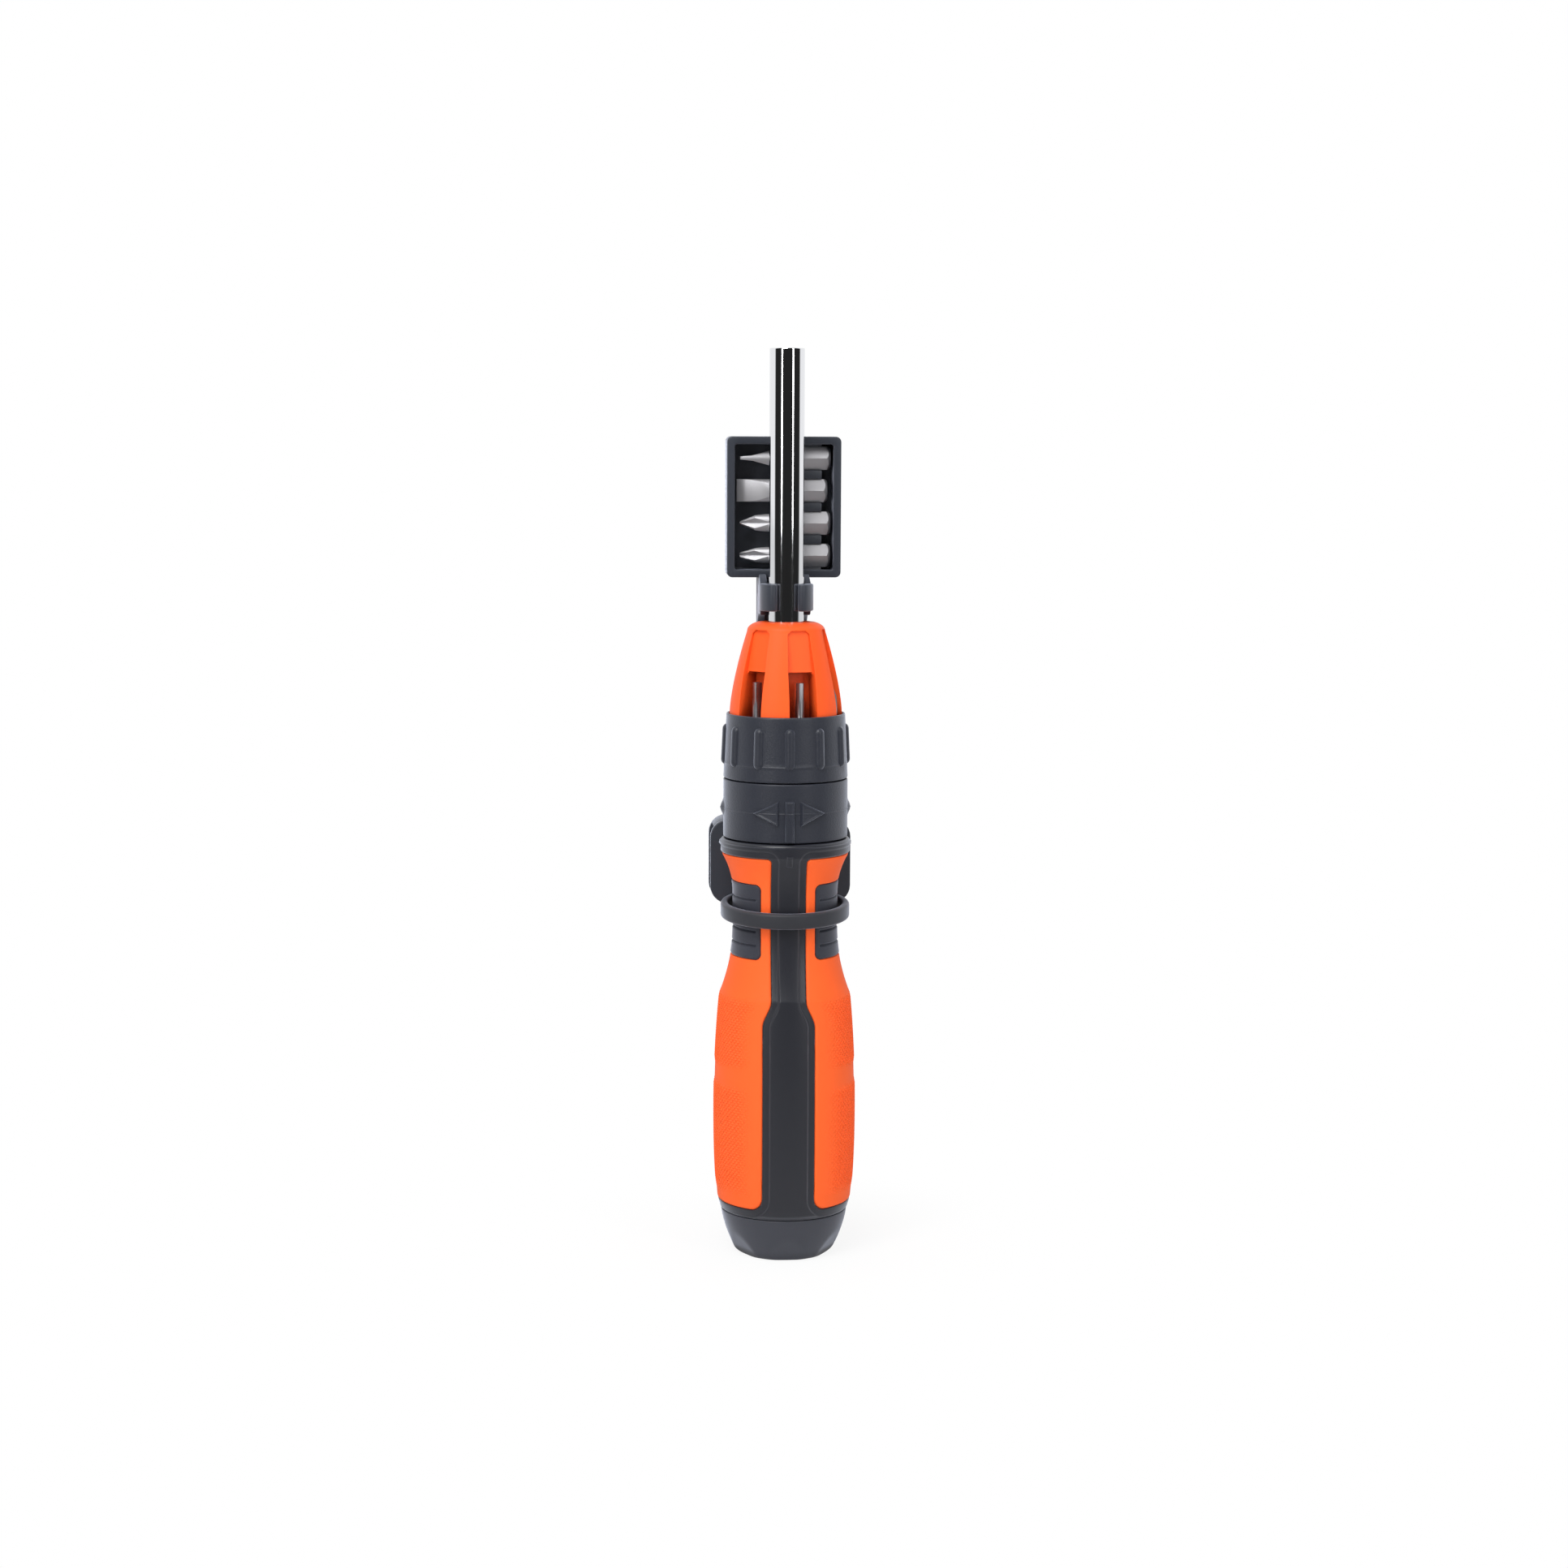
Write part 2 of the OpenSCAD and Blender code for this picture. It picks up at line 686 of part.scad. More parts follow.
module bit_collar() {
  r0 = selector_d / 2;
  r1 = collar_rim_d / 2;
  lean = atan((r0 - r1) / collar_h);
  color(black)
  difference() {
    union() {
      turned([
        [0, hub_z + 0.1], [hub_r + 0.4, hub_z + 0.1], [hub_r + 0.4, collar_z],
        [r0 - 0.4, collar_z], [r0, collar_z + 0.4],
        [r1, collar_top - 0.5], [r1 - 0.3, collar_top], [rim_r, collar_top], [rim_r, deck_z], [0, deck_z]]);
      intersection() {
        tube(rim_r + 0.2, outer, collar_z, collar_top);
        for (i = [0 : rib_count - 1])
          rotate(-90 + 360 * i / rib_count)
            translate([r0 - 0.3 + rib_rise - rib_w / 2, 0, collar_z + 4.9]) rotate([0, -lean, 0])
              turned(concat(arc(0, 0, rib_w / 2, -90, 0, 4), arc(0, collar_h - 9.3, rib_w / 2, 0, 90, 4)));
      }
    }
    for (i = [0 : 5])
      at_bit(i) translate([bit_circle, 0, bit_z]) cylinder(r = pocket_r, h = collar_top - bit_z + 1);
    drive_bar(drive_r + seat_fit, drive_w + 2 * seat_fit, hub_z - 1, collar_top);
    for (i = [0 : 2])
      rotate(-45 + 120 * i) translate([11.8, 0, deck_z - 4]) cylinder(r = 1.2 + seat_fit, h = 8);
  }
}

module nose_cone() {
  tilt = atan((groove_floor - groove_floor_top) / (groove_z - window_z));
  color(orange)
  difference() {
    union() {
      turned(concat(
        [[0, deck_z + seat_fit], [cone_r, deck_z + seat_fit]],
        [for (i = [0 : 9]) let (z = collar_top + (cone_shoulder - collar_top) * i / 9) [cone_skin(z), z]],
        [[cone_top_d / 2 - 1.1, cone_shoulder + 0.8], [cone_top_d / 2 - 2.4, cone_shoulder + 1.6],
         [cone_top_d / 2 - 4.2, cone_top], [0, cone_top]]));
      for (i = [0 : 2])
        rotate(-45 + 120 * i) translate([11.8, 0, deck_z - 3.8]) cylinder(r = 1.2, h = 6);
    }
    translate([0, 0, deck_z - 1]) cylinder(r = shaft_r + seat_fit, h = cone_top - deck_z + 2);
    for (i = [0 : 5])
      at_bit(i) {
        translate([8, 0, 0]) rotate([90, 0, 90]) linear_extrude(cone_r)
          polygon([
            [-window_w / 2, deck_z - 1], [window_w / 2, deck_z - 1], [window_top_w / 2, window_z - 1],
            [window_top_w / 2 - 1, window_z], [1 - window_top_w / 2, window_z],
            [-window_top_w / 2, window_z - 1]]);
        translate([groove_floor, 0, window_z]) rotate([0, -tilt, 0]) rotate([90, 0, 90])
          linear_extrude(cone_r / 2) polygon([
            [-window_top_w / 2, -1.5], [window_top_w / 2, -1.5], [groove_top_w / 2, groove_z - window_z - 1],
            [groove_top_w / 2 - 0.8, groove_z - window_z], [0.8 - groove_top_w / 2, groove_z - window_z],
            [-groove_top_w / 2, groove_z - window_z - 1]]);
      }
  }
}

module socket_magnet() {
  color(steel) translate([0, 0, shaft_top - socket_depth - magnet_h]) cylinder(r = magnet_r, h = magnet_h);
}

// the open spring ring that grips a bit, sprung into the socket's groove
module socket_ring() {
  color(steel)
  difference() {
    tube(hex_r - 0.05, 4.05, ring_z, ring_z + ring_t);
    translate([-1, -20, ring_z - 1]) cube([2, 20, 4]);
  }
}

// the hexagon end of a bit and the round neck above it, up to height z
module shank(neck_r, z) {
  intersection() {
    rotate(30) cylinder(r = hex_r, h = shank_h, $fn = 6);
    turned([
      [0, 0], [hex_r - 0.9 * shank_ease, 0], [hex_r, shank_ease], [hex_r, shank_h - 0.7],
      [bit_af / 2 - 0.3, shank_h], [0, shank_h]]);
  }
  turned([
    [0, shank_h - 0.5], [2.6, shank_h - 0.5], [2.6, shank_h + 0.6],
    [neck_r, shank_h + 1.6], [neck_r, z], [0, z]]);
}

// a flat-blade bit, its blade turned from the hexagon by an angle
module slot_bit(blade_r, edge, turn) {
  shank(blade_r, shank_h + 3);
  intersection() {
    translate([0, 0, shank_h + 2]) cylinder(r = blade_r, h = bit_len - shank_h - 2);
    rotate(turn) rotate([90, 0, 0]) translate([0, 0, -5]) linear_extrude(10)
      polygon([
        [-blade_r, shank_h + 1], [blade_r, shank_h + 1], [blade_r, shank_h + 3.6],
        [edge / 2 + 0.35, bit_len - 3.5], [edge / 2, bit_len], [-edge / 2, bit_len],
        [-edge / 2 - 0.35, bit_len - 3.5], [-blade_r, shank_h + 3.6]]);
  }
}

// a cross-point bit, its four flutes running out on the neck
module cross_bit(neck_r, point_r) {
  difference() {
    union() {
      shank(neck_r, bit_len - cross_h);
      turned([[0, bit_len - cross_h - 0.5], [neck_r, bit_len - cross_h - 0.5], [neck_r, bit_len - cross_h],
              [point_r, bit_len - 0.4], [point_r - 0.3, bit_len], [0, bit_len]]);
    }
    for (i = [0 : 3])
      rotate(90 * i) intersection() {
        flute(0.2 * neck_r, point_lean);
        flute(0.2 * neck_r, runout_lean);
      }
  }
}

// a straight V cut, its root leaning from the bit's axis
module flute(root_r, lean) {
  translate([root_r, 0, bit_len - cross_h]) rotate([0, -lean, 0]) rotate(-45) translate([0, 0, -20])
    cube([8, 8, 40]);
}

// a bit with a straight key of n sides, ground on a round neck
module key_bit(af, n) {
  neck_r = af / 2 / cos(180 / n) + 0.08;
  difference() {
    shank(neck_r, bit_len);
    for (i = [1 : n])
      rotate(360 / n * i) rotate([90, 0, 0]) translate([0, 0, -5]) linear_extrude(10)
        polygon([
          [af / 2, bit_len + 1], [af / 2, bit_len - key_h], [neck_r + 0.2, bit_len - key_h - key_runout],
          [neck_r + 3, bit_len - key_h - key_runout], [neck_r + 3, bit_len + 1]]);
  }
}

// a six-lobed bit
module star_bit(r) {
  shank(r + 0.5, bit_len - 6);
  difference() {
    turned([
      [0, bit_len - 6.2], [r + 0.5, bit_len - 6.2], [r, bit_len - 5.4], [r, bit_len - 0.3],
      [r - 0.3, bit_len], [0, bit_len]]);
    for (i = [0 : 5])
      rotate(60 * i) translate([r + 0.15, 0, bit_len - 5.6]) cylinder(r = 0.55, h = 9);
  }
}

// a bit standing in one of the six places of the nose
module in_nose(i) {
  at_bit(i) translate([bit_circle, 0, bit_z + seat_fit]) children();
}

module nose_bit_key() {
  color(steel) in_nose(0) key_bit(key_af, 6);
}

module nose_bit_cross() {
  color(steel) in_nose(1) cross_bit(cross_neck, 0.9);
}

module nose_bit_square() {
  color(steel) in_nose(5) rotate(square_turn) key_bit(square_af, 4);
}

module nose_bit_star() {
  color(steel) in_nose(3) star_bit(1.9);
}

module nose_bit_slot() {
  color(steel) in_nose(4) slot_bit(2.7, 0.9, 0);
}

module nose_bit_slot_small() {
  color(steel) in_nose(2) slot_bit(small_blade_r, 0.6, 0);
}

// heights of the four bits in the tray, the uppermost first
function tray_bit_z(i) = tray_z + tray_h / 2 + (1.5 - i) * bit_pitch;

module bit_holder() {
  gusset = 2;
  half = spine_w / 2;
  color(soft_black) {
    difference() {
      union() {
        along_y(tray_y, spine_back) rounded(-tray_w / 2, tray_z, tray_w / 2, tray_z + tray_h, tray_r);
        translate([-half, spine_y, paddle_z1 - 5]) cube([spine_w, spine_t, tray_z - paddle_z1 + 6]);
        along_y(spine_y, spine_back) rounded(-paddle_w / 2, paddle_z0, paddle_w / 2, paddle_z1, paddle_r);
        for (x = [-half, half - gusset])
          translate([x, 0, 0]) rotate([90, 0, 90]) linear_extrude(gusset)
            polygon(concat(
              [[2.6, tray_z - 1], [2.6, clip_z - 0.5], [3.6, clip_z - 1.5]],
              arc(spine_y - 9.5, clip_z - 11, 9.5, 90, 0, 6),
              [[spine_back, clip_z - 11], [spine_back, tray_z + 0.5], [tray_y, tray_z + 0.5]]));
        translate([0, 0, clip_z]) cylinder(r = clip_r + clip_wall, h = clip_h);
        stake(-1);
        stake(1);
      }
      translate([0, 0, clip_z - 20]) cylinder(r = clip_r, h = clip_h + 21.2);
      along_z(clip_z - 3, clip_z + clip_h + 3)
        polygon([[0, 0], polar(30, 270 - clip_open), polar(30, 270 + clip_open)]);
      difference() {
        along_y(tray_y - 1, spine_back - tray_wall)
          rounded(tray_wall - tray_w / 2, tray_z + tray_wall,
                  tray_w / 2 - tray_wall, tray_z + tray_h - tray_wall, 0.8);
        cradles();
      }
      along_y(spine_y - 1, spine_back + 1) loop_notch();
    }
  }
}

// the ribs between which the bits snap
module cradles() {
  reach = bit_y - hex_r + 1.2;
  for (i = [0 : tray_bits])
    translate([cradle_x0, reach, tray_bit_z(i) + bit_af / 2 + 0.08])
      cube([cradle_x1 - cradle_x0, spine_back - reach, bit_pitch - bit_af - 0.16]);
}

// a peg that holds the belt clip, spread at its end
module stake(s) {
  translate([s * stake_x, spine_back - 0.5, stake_z]) rotate([-90, 0, 0]) {
    cylinder(r = stake_r, h = belt_t + 1);
    translate([0, 0, belt_t + 0.5 + 2 * seat_fit]) cylinder(r = stake_r + 0.8, h = 0.8);
  }
}

// the place of the loop's lug at the paddle's lower edge
module loop_notch() {
  translate([-2.1, paddle_z0 - 2]) square([4.2, loop_h + 2]);
}

module belt_clip() {
  r = paddle_r;
  half = paddle_w / 2 - 1.1;
  color(soft_black)
  difference() {
    union() {
      along_y(leg_y, leg_y + belt_t) rounded(-half + 4, paddle_z0 + 8, half - 4, paddle_z1, 2);
      along_y(tongue_y, tongue_y + belt_t)
        rounded(-paddle_w / 2, paddle_z0 - 0.5, paddle_w / 2, paddle_z1, r);
      along_y(leg_y, tongue_y + belt_t) difference() {
        rounded(-half, paddle_z1 - 9, half, paddle_z1, r - 1);
        translate([-outer, paddle_z1 - 20]) square([2 * outer, 20 - belt_t]);
      }
    }
    for (s = [-1, 1])
      translate([s * stake_x, leg_y - 1, stake_z]) rotate([-90, 0, 0])
        cylinder(r = stake_r + seat_fit, h = belt_t + 2);
  }
}

module neck_loop() {
  z0 = loop_z;
  z1 = loop_z + loop_h;
  c = 0.6;
  color(rubber) {
    turned([
      [loop_in, z0 + c], [loop_in + c, z0], [loop_out - c, z0], [loop_out, z0 + c],
      [loop_out, z1 - c], [loop_out - c, z1], [loop_in + c, z1], [loop_in, z1 - c]]);
    translate([-2, loop_out - 0.6, z0 + 0.3]) cube([4, spine_back - loop_out + 1.4, loop_h - 0.6]);
    translate([-4, spine_back + seat_fit, z0 + 0.3]) cube([8, 1.6, loop_h - 0.6]);
  }
}

// a bit lying in the tray, its tip towards -X, pushed that way by a slide
module in_tray(i, slide) {
  translate([shank_x - slide, bit_y, tray_bit_z(i)]) rotate([0, -90, 0]) children();
}

module tray_bit_slot_edge() {
  color(steel) in_tray(0, 0) slot_bit(2.5, 0.8, 0);
}

module tray_bit_slot_flat() {
  color(steel) in_tray(1, 0.9) slot_bit(3.1, 1, 90);
}

module tray_bit_cross_upper() {
  color(steel) in_tray(2, 0) cross_bit(cross_neck, 0.6);
}

module tray_bit_cross_lower() {
  color(steel) in_tray(3, 0) cross_bit(cross_neck - 0.2, 1);
}

module cap_gasket() {
  r = spigot_d / 2 + 0.8;
  color(rubber)
  difference() {
    tube(r - 0.7, r + 0.7, cap_h + 0.05, cap_h + 1.1);
    tube(r - 0.7, r - 0.4, cap_h, cap_h + 0.35);
  }
}

module end_cap() {
  r = spigot_d / 2;
  foot_r = cap_foot_d / 2;
  edge = cap_skin(1);
  z = cap_h - seam / 2;
  top = cap_h + spigot_h;
  foot_land = cap_h + 2.4;
  root = r - 0.6;
  inside = r - 2;
  color(black)
  difference() {
    turned(concat(
      [[0, 0], [foot_r, 0], [foot_r + (edge - foot_r) * 0.6, 0.3]],
      [for (i = [0 : 6]) let (h = 1 + (z - 1) * i / 6) [cap_skin(h), h]],
      [[r, z], [r, foot_land], [root, foot_land + thread_step], [root, top - 3 * thread_step],
       [r, top - 2 * thread_step], [r, top], [inside, top], [inside, cap_floor], [0, cap_floor]]));
    for (i = [0 : flat_count - 1])
      rotate(-90 + 360 * i / flat_count) translate([foot_r - 0.1, -cap_r, 0]) rotate([0, flat_lean, 0])
        translate([0, 0, -cap_h]) cube([cap_r, cap_d, 2 * cap_h]);
  }
}

handle_core();
grip_left();
grip_right();
neck_pad_left();
neck_pad_right();
ratchet_housing();
housing_screws();
spindle_bush();
thrust_washer();
pawl_pins();
pawl_spring();
detent_spring();
pawl_cover();
cover_screws();
pawl_left();
pawl_right();
selector_ring();
shaft();
shaft_circlip();
ratchet_gear();
bit_collar();
nose_cone();
socket_magnet();
socket_ring();
nose_bit_key();
nose_bit_cross();
nose_bit_square();
nose_bit_star();
nose_bit_slot();
nose_bit_slot_small();
bit_holder();
belt_clip();
neck_loop();
tray_bit_slot_edge();
tray_bit_slot_flat();
tray_bit_cross_upper();
tray_bit_cross_lower();
cap_gasket();
end_cap();
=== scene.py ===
import math

import bmesh
import bpy
import numpy as np
from mathutils import Matrix, Vector


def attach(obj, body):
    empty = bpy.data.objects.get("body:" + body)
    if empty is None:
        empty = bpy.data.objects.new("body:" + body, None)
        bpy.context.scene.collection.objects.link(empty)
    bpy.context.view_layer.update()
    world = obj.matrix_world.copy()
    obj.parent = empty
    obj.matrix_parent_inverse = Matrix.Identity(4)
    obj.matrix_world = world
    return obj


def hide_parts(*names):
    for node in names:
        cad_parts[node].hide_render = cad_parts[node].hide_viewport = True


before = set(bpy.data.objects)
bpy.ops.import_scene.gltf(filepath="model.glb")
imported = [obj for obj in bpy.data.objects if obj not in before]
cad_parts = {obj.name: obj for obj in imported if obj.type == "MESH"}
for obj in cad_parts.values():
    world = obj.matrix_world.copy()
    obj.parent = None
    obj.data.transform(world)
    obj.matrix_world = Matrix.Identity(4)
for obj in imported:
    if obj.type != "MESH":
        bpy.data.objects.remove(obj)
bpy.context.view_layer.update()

# Handle core: the hollow backbone of the handle, an injection moulding in glass-filled polypropylene.
# Its stripe shows at the front and the back between the soft grips, and its flange carries the head.
# A shallow frame runs round each grip, and a small raised mark under the flange points at the selector.
MM = 0.001
SEAM_Z, BELLY_Z, SHOULDER_Z, NECK_Z = 12.5, 41.34, 73.5, 91.82
FLARE_Z, FLANGE_Z, FLANGE_TOP, FLANGE_LIP = 101.5, 113.0, 116.6, 1.0
SEAM_R, BELLY_R, SHOULDER_R, NECK_R, FLANGE_R = 17.5, 19.35, 17.8, 14.3, 17.8
HEEL_RISE, HEEL_H, FOOT_CURVE = 0.6, 3.3, 2.5
GRIP_LOW_Z, GRIP_HIGH_Z, GRIP_FOOT_R, GRIP_TOP_R = 15.2, 112.6, 3.3, 1.3
STRIPE_BELLY, STRIPE_NECK, STRIPE_CHANGE_H, STRIPE_EDGE = 7.25, 4.85, 7.2, 0.3
GRIP_POCKET, POCKET_SLOPE = 2.03, 3
FRAME_WIDTH, FRAME_STEP, FRAME_RISE = 1.75, 0.7, 0.5
FRAME_LOW_Z, FRAME_FULL_Z = 12.8, 14.0
FLANGE_FRAME_LOW_Z, FLANGE_FRAME_FULL_Z, FLANGE_FRAME_SHARE = 108.0, 112.0, 0.75
MARK_HALF_W, MARK_LOW_Z, MARK_HIGH_Z, MARK_RISE, MARK_EDGE = 0.85, 110.4, 113.4, 0.3, 0.25


def spaced(*spans):
    """Places along a length or round a circle, in spans of start, stop and spacing."""
    rows = [np.linspace(a, b, max(1, round(abs(b - a) / step)) + 1) for a, b, step in spans]
    return np.unique(np.concatenate(rows).round(4))


def along(place, start, stop):
    """How far a place lies from start to stop, from 0 to 1."""
    return np.clip((place - start) / (stop - start), 0, 1)


def ease(share):
    """A soft step from 0 to 1."""
    share = np.clip(share, 0, 1)
    return share * share * (3 - 2 * share)


def edge_round(depth, radius):
    """How far a rounded edge falls away, at a depth inside the edge."""
    short = radius - np.clip(depth, 0, radius)
    return radius - np.sqrt(radius * radius - short * short)


def arc(x, z, radius, start, stop, count=5):
    """Points of an arc about a centre, between two angles in degrees."""
    turns = np.radians(np.linspace(start, stop, count))
    return [(x + radius * math.cos(t), z + radius * math.sin(t)) for t in turns]


def handle_radius(z):
    """Radius of the handle's skin at a height."""
    z = np.asarray(z, float)
    foot = BELLY_R - (BELLY_R - SEAM_R - HEEL_RISE) * along(z, BELLY_Z, SEAM_Z) ** FOOT_CURVE
    foot = foot - HEEL_RISE * along(z, SEAM_Z + HEEL_H, SEAM_Z) ** 2
    belly = BELLY_R - (BELLY_R - SHOULDER_R) * along(z, BELLY_Z, SHOULDER_Z) ** 2
    neck = NECK_R + (SHOULDER_R - NECK_R) * along(z, NECK_Z, SHOULDER_Z) ** 2
    flare = NECK_R + (FLANGE_R - NECK_R) * along(z, FLARE_Z, FLANGE_Z) ** 2
    return np.select([z < BELLY_Z, z < SHOULDER_Z, z < FLARE_Z], [foot, belly, neck], flare)


def rounded_corner(a, b, radius):
    """Depth inside a corner of two edges, from the depths inside each, the corner being rounded."""
    inside = radius - np.hypot(radius - a, radius - b)
    return np.where((a < radius) & (b < radius), inside, np.minimum(a, b))


def grip_depth(x, z):
    """Depth inside the outline of a soft grip, seen from the front; negative on the core."""
    change = ease(along(z, SHOULDER_Z - STRIPE_CHANGE_H, SHOULDER_Z))
    side = np.abs(x) - (STRIPE_BELLY + (STRIPE_NECK - STRIPE_BELLY) * change)
    low = rounded_corner(side, z - GRIP_LOW_Z, GRIP_FOOT_R)
    return np.minimum(low, rounded_corner(side, GRIP_HIGH_Z - z, GRIP_TOP_R))


def linked(name, data):
    """An object of the scene that shows a mesh, a lamp or a camera."""
    thing = bpy.data.objects.new(name, data)
    bpy.context.scene.collection.objects.link(thing)
    return thing


def placed(mesh, name, material, crease=30):
    """A mesh as a piece of the object, smooth except where its faces meet at more than the crease."""
    mesh.name = name
    mesh.materials.clear()
    mesh.materials.append(material)
    mesh.shade_smooth()
    mesh.set_sharp_from_angle(angle=math.radians(crease))
    return linked(name, mesh)


def mesh_of(points, faces):
    """A mesh from points in millimetres."""
    mesh = bpy.data.meshes.new("raw")
    mesh.from_pydata([tuple(p) for p in np.asarray(points, float) * MM], [], faces)
    mesh.validate()
    return mesh


def ring_faces(here):
    """Faces between rows of point numbers, each row going all the way round."""
    beside = np.roll(here, -1, axis=1)
    return np.stack([here[:-1], beside[:-1], beside[1:], here[1:]], -1).reshape(-1, 4).tolist()


def turned_mesh(rows, turns, shut):
    """A turned piece from rows of radius and height over the turns, in degrees from the front to the right.
    It ends on the axis, or its last row meets its first."""
    wide = len(turns)
    angle = np.radians(turns)
    radius = np.array([np.broadcast_to(row[0], wide) for row in rows], float)
    height = np.array([np.broadcast_to(row[1], wide) for row in rows], float)
    points = np.stack([radius * np.sin(angle), -radius * np.cos(angle), height], -1).reshape(-1, 3)
    here = np.arange(len(points)).reshape(-1, wide)
    if shut == "ring":
        return mesh_of(points, ring_faces(np.vstack([here, here[:1]])))
    low, high = len(points), len(points) + 1
    points = np.vstack([points, [0, 0, height[0].mean()], [0, 0, height[-1].mean()]])
    faces = ring_faces(here)
    faces += [[low, b, a] for a, b in zip(here[0].tolist(), np.roll(here[0], -1).tolist())]
    faces += [[a, b, high] for a, b in zip(here[-1].tolist(), np.roll(here[-1], -1).tolist())]
    return mesh_of(points, faces)


def linear(colour):
    """An sRGB hex colour as Blender's linear one."""
    parts = [int(colour[i:i + 2], 16) / 255 for i in (0, 2, 4)]
    return [c / 12.92 if c <= 0.04045 else ((c + 0.055) / 1.055) ** 2.4 for c in parts] + [1.0]


def add(tree, kind, inputs=None):
    """A node of that kind, its inputs set to values or linked to an output or a node's first output."""
    made = tree.nodes.new(kind)
    for key, value in (inputs or {}).items():
        if isinstance(value, bpy.types.Node):
            value = value.outputs[0]
        if isinstance(value, bpy.types.NodeSocket):
            tree.links.new(value, made.inputs[key])
        elif isinstance(key, int) or key in made.inputs:
            made.inputs[key].default_value = value
        else:
            setattr(made, key, value)
    return made


def emptied(owner):
    """The emptied node tree of a material or a world."""
    owner.use_nodes = True
    owner.node_tree.nodes.clear()
    return owner.node_tree


def surface(name, grain, depth, texture, settings):
    """A material and its shader: its settings, and an unevenness of that grain and depth in millimetres."""
    material = bpy.data.materials.new(name)
    tree = emptied(material)
    place = add(tree, "ShaderNodeTexCoord")
    noise = add(tree, "ShaderNodeTexNoise", {
        "Scale": 1 / (grain * MM)} | texture | {"Vector": place.outputs["Object"]})
    bump = add(tree, "ShaderNodeBump", {"Strength": 1.0, "Distance": depth * MM, "Height": noise})
    shader = add(tree, "ShaderNodeBsdfPrincipled", settings | {"Normal": bump})
    add(tree, "ShaderNodeOutputMaterial", {"Surface": shader})
    return material, shader


MOULD_TEXTURE = {"Detail": 2.0, "Roughness": 0.6}
BLOOM_COLOUR, BLOOM_SPREAD, SEAM_REACH = "DCE3F6", 0.35, 3.0
SEAM_DARK, SEAM_OPEN = 0.5, 0.9


def moulded(name, colour, roughness, grain, depth, specular, bloom=0.0):
    """A moulded polymer: one colour, and the fine grain that the eroded mould leaves, in millimetres.
    The bloom is the pale sheen that the grain shows where it turns away; down in a seam ambient occlusion
    takes it out, which is painted shade."""
    material, shader = surface(name, grain, depth, MOULD_TEXTURE, {
        "Base Color": linear(colour), "Roughness": roughness, "Specular IOR Level": specular,
        "Sheen Roughness": BLOOM_SPREAD, "Sheen Tint": linear(BLOOM_COLOUR)})
    if bloom:
        tree = material.node_tree
        # Painted shade: ambient occlusion takes the sheen out of seams and hollows, so that they stay dark.
        painted_seam_shade = add(tree, "ShaderNodeAmbientOcclusion", {"samples": 8, "Distance": SEAM_REACH * MM})
        veil = add(tree, "ShaderNodeMapRange", {
            "From Min": SEAM_DARK, "From Max": SEAM_OPEN, "To Max": bloom,
            "Value": painted_seam_shade.outputs["AO"]})
        tree.links.new(veil.outputs["Result"], shader.inputs["Sheen Weight"])
    return material


# Black polypropylene with a spark-eroded grain: a dark satin that scatters the lamps into a soft grey.
black_polypropylene = moulded("black_polypropylene", "212229", 0.36, 0.45, 0.02, 0.5, 0.9)

core_turns = spaced((-36, 36, 0.6), (36, 144, 3), (144, 216, 0.6), (216, 321, 3))
core_heights = spaced((12.75, 16.8, 0.2), (16.8, 63, 0.8), (63, 76, 0.4), (76, 107.5, 0.8),
                      (107.5, 115.6, 0.2))
bit_hollow = [(12, 72), (12, 23)]
cap_bore = [(13.6, 22), (13.6, 13.7), (15.2, 13.7), (15.2, 12.5)]
core_foot = [(17.2, 12.5), (17.42, 12.6)]
ratchet_seat = [(13.53, FLANGE_TOP), (13.53, 114), (8.43, 114), (8.43, 86), (7.5, 86), (7.5, 80)]


def core_radius(z):
    """Radius of the core all round, at a height."""
    base = handle_radius(z)
    x = base * np.sin(np.radians(core_turns))
    depth = grip_depth(x, z)
    frame_line = ease((-depth - FRAME_WIDTH) / FRAME_STEP) * ease(along(z, FRAME_LOW_Z, FRAME_FULL_Z))
    at_flange = ease(along(z, FLANGE_FRAME_LOW_Z, FLANGE_FRAME_FULL_Z))
    frame_line = frame_line * (1 - (1 - FLANGE_FRAME_SHARE) * at_flange)
    sunk = np.minimum(STRIPE_EDGE + POCKET_SLOPE * depth, GRIP_POCKET)
    pocket = np.where(depth > 0, sunk, edge_round(-depth, STRIPE_EDGE))
    mark = np.minimum(MARK_HALF_W - np.abs(x), np.minimum(z - MARK_LOW_Z, MARK_HIGH_Z - z))
    facing = np.cos(np.radians(core_turns)) > 0
    return base + FRAME_RISE * frame_line - pocket + MARK_RISE * ease(mark / MARK_EDGE) * facing


flange_lip = arc(FLANGE_R - FLANGE_LIP, FLANGE_TOP - FLANGE_LIP, FLANGE_LIP, 15, 90, 6)
core_side = [(core_radius(z), z) for z in core_heights]
core_rows = bit_hollow + cap_bore + core_foot + core_side + flange_lip + ratchet_seat
core = placed(turned_mesh(core_rows, core_turns, "axis"), "handle_shell", black_polypropylene)
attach(core, "handle")
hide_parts("handle_core")

# Soft grips: two halves of orange thermoplastic elastomer, moulded over the core in a second shot.
# They fill its side pockets, stand a little proud with rounded edges, and leave room for the neck pads.
# Fields of small raised diamonds give a firm hold, with a smooth band between the two fields.
GRIP_PROUD, GRIP_EDGE_R, GRIP_T, GRIP_SINK, THINNEST = 0.12, 0.8, 1.95, 1.7, 0.1
PAD_LOW_Z, PAD_HIGH_Z, PAD_EDGE, PAD_CORNER_R, PAD_SEAT_R = 84.2, 104.9, 7.5, 1.7, 0.4
EDGE_SLOPE = 2


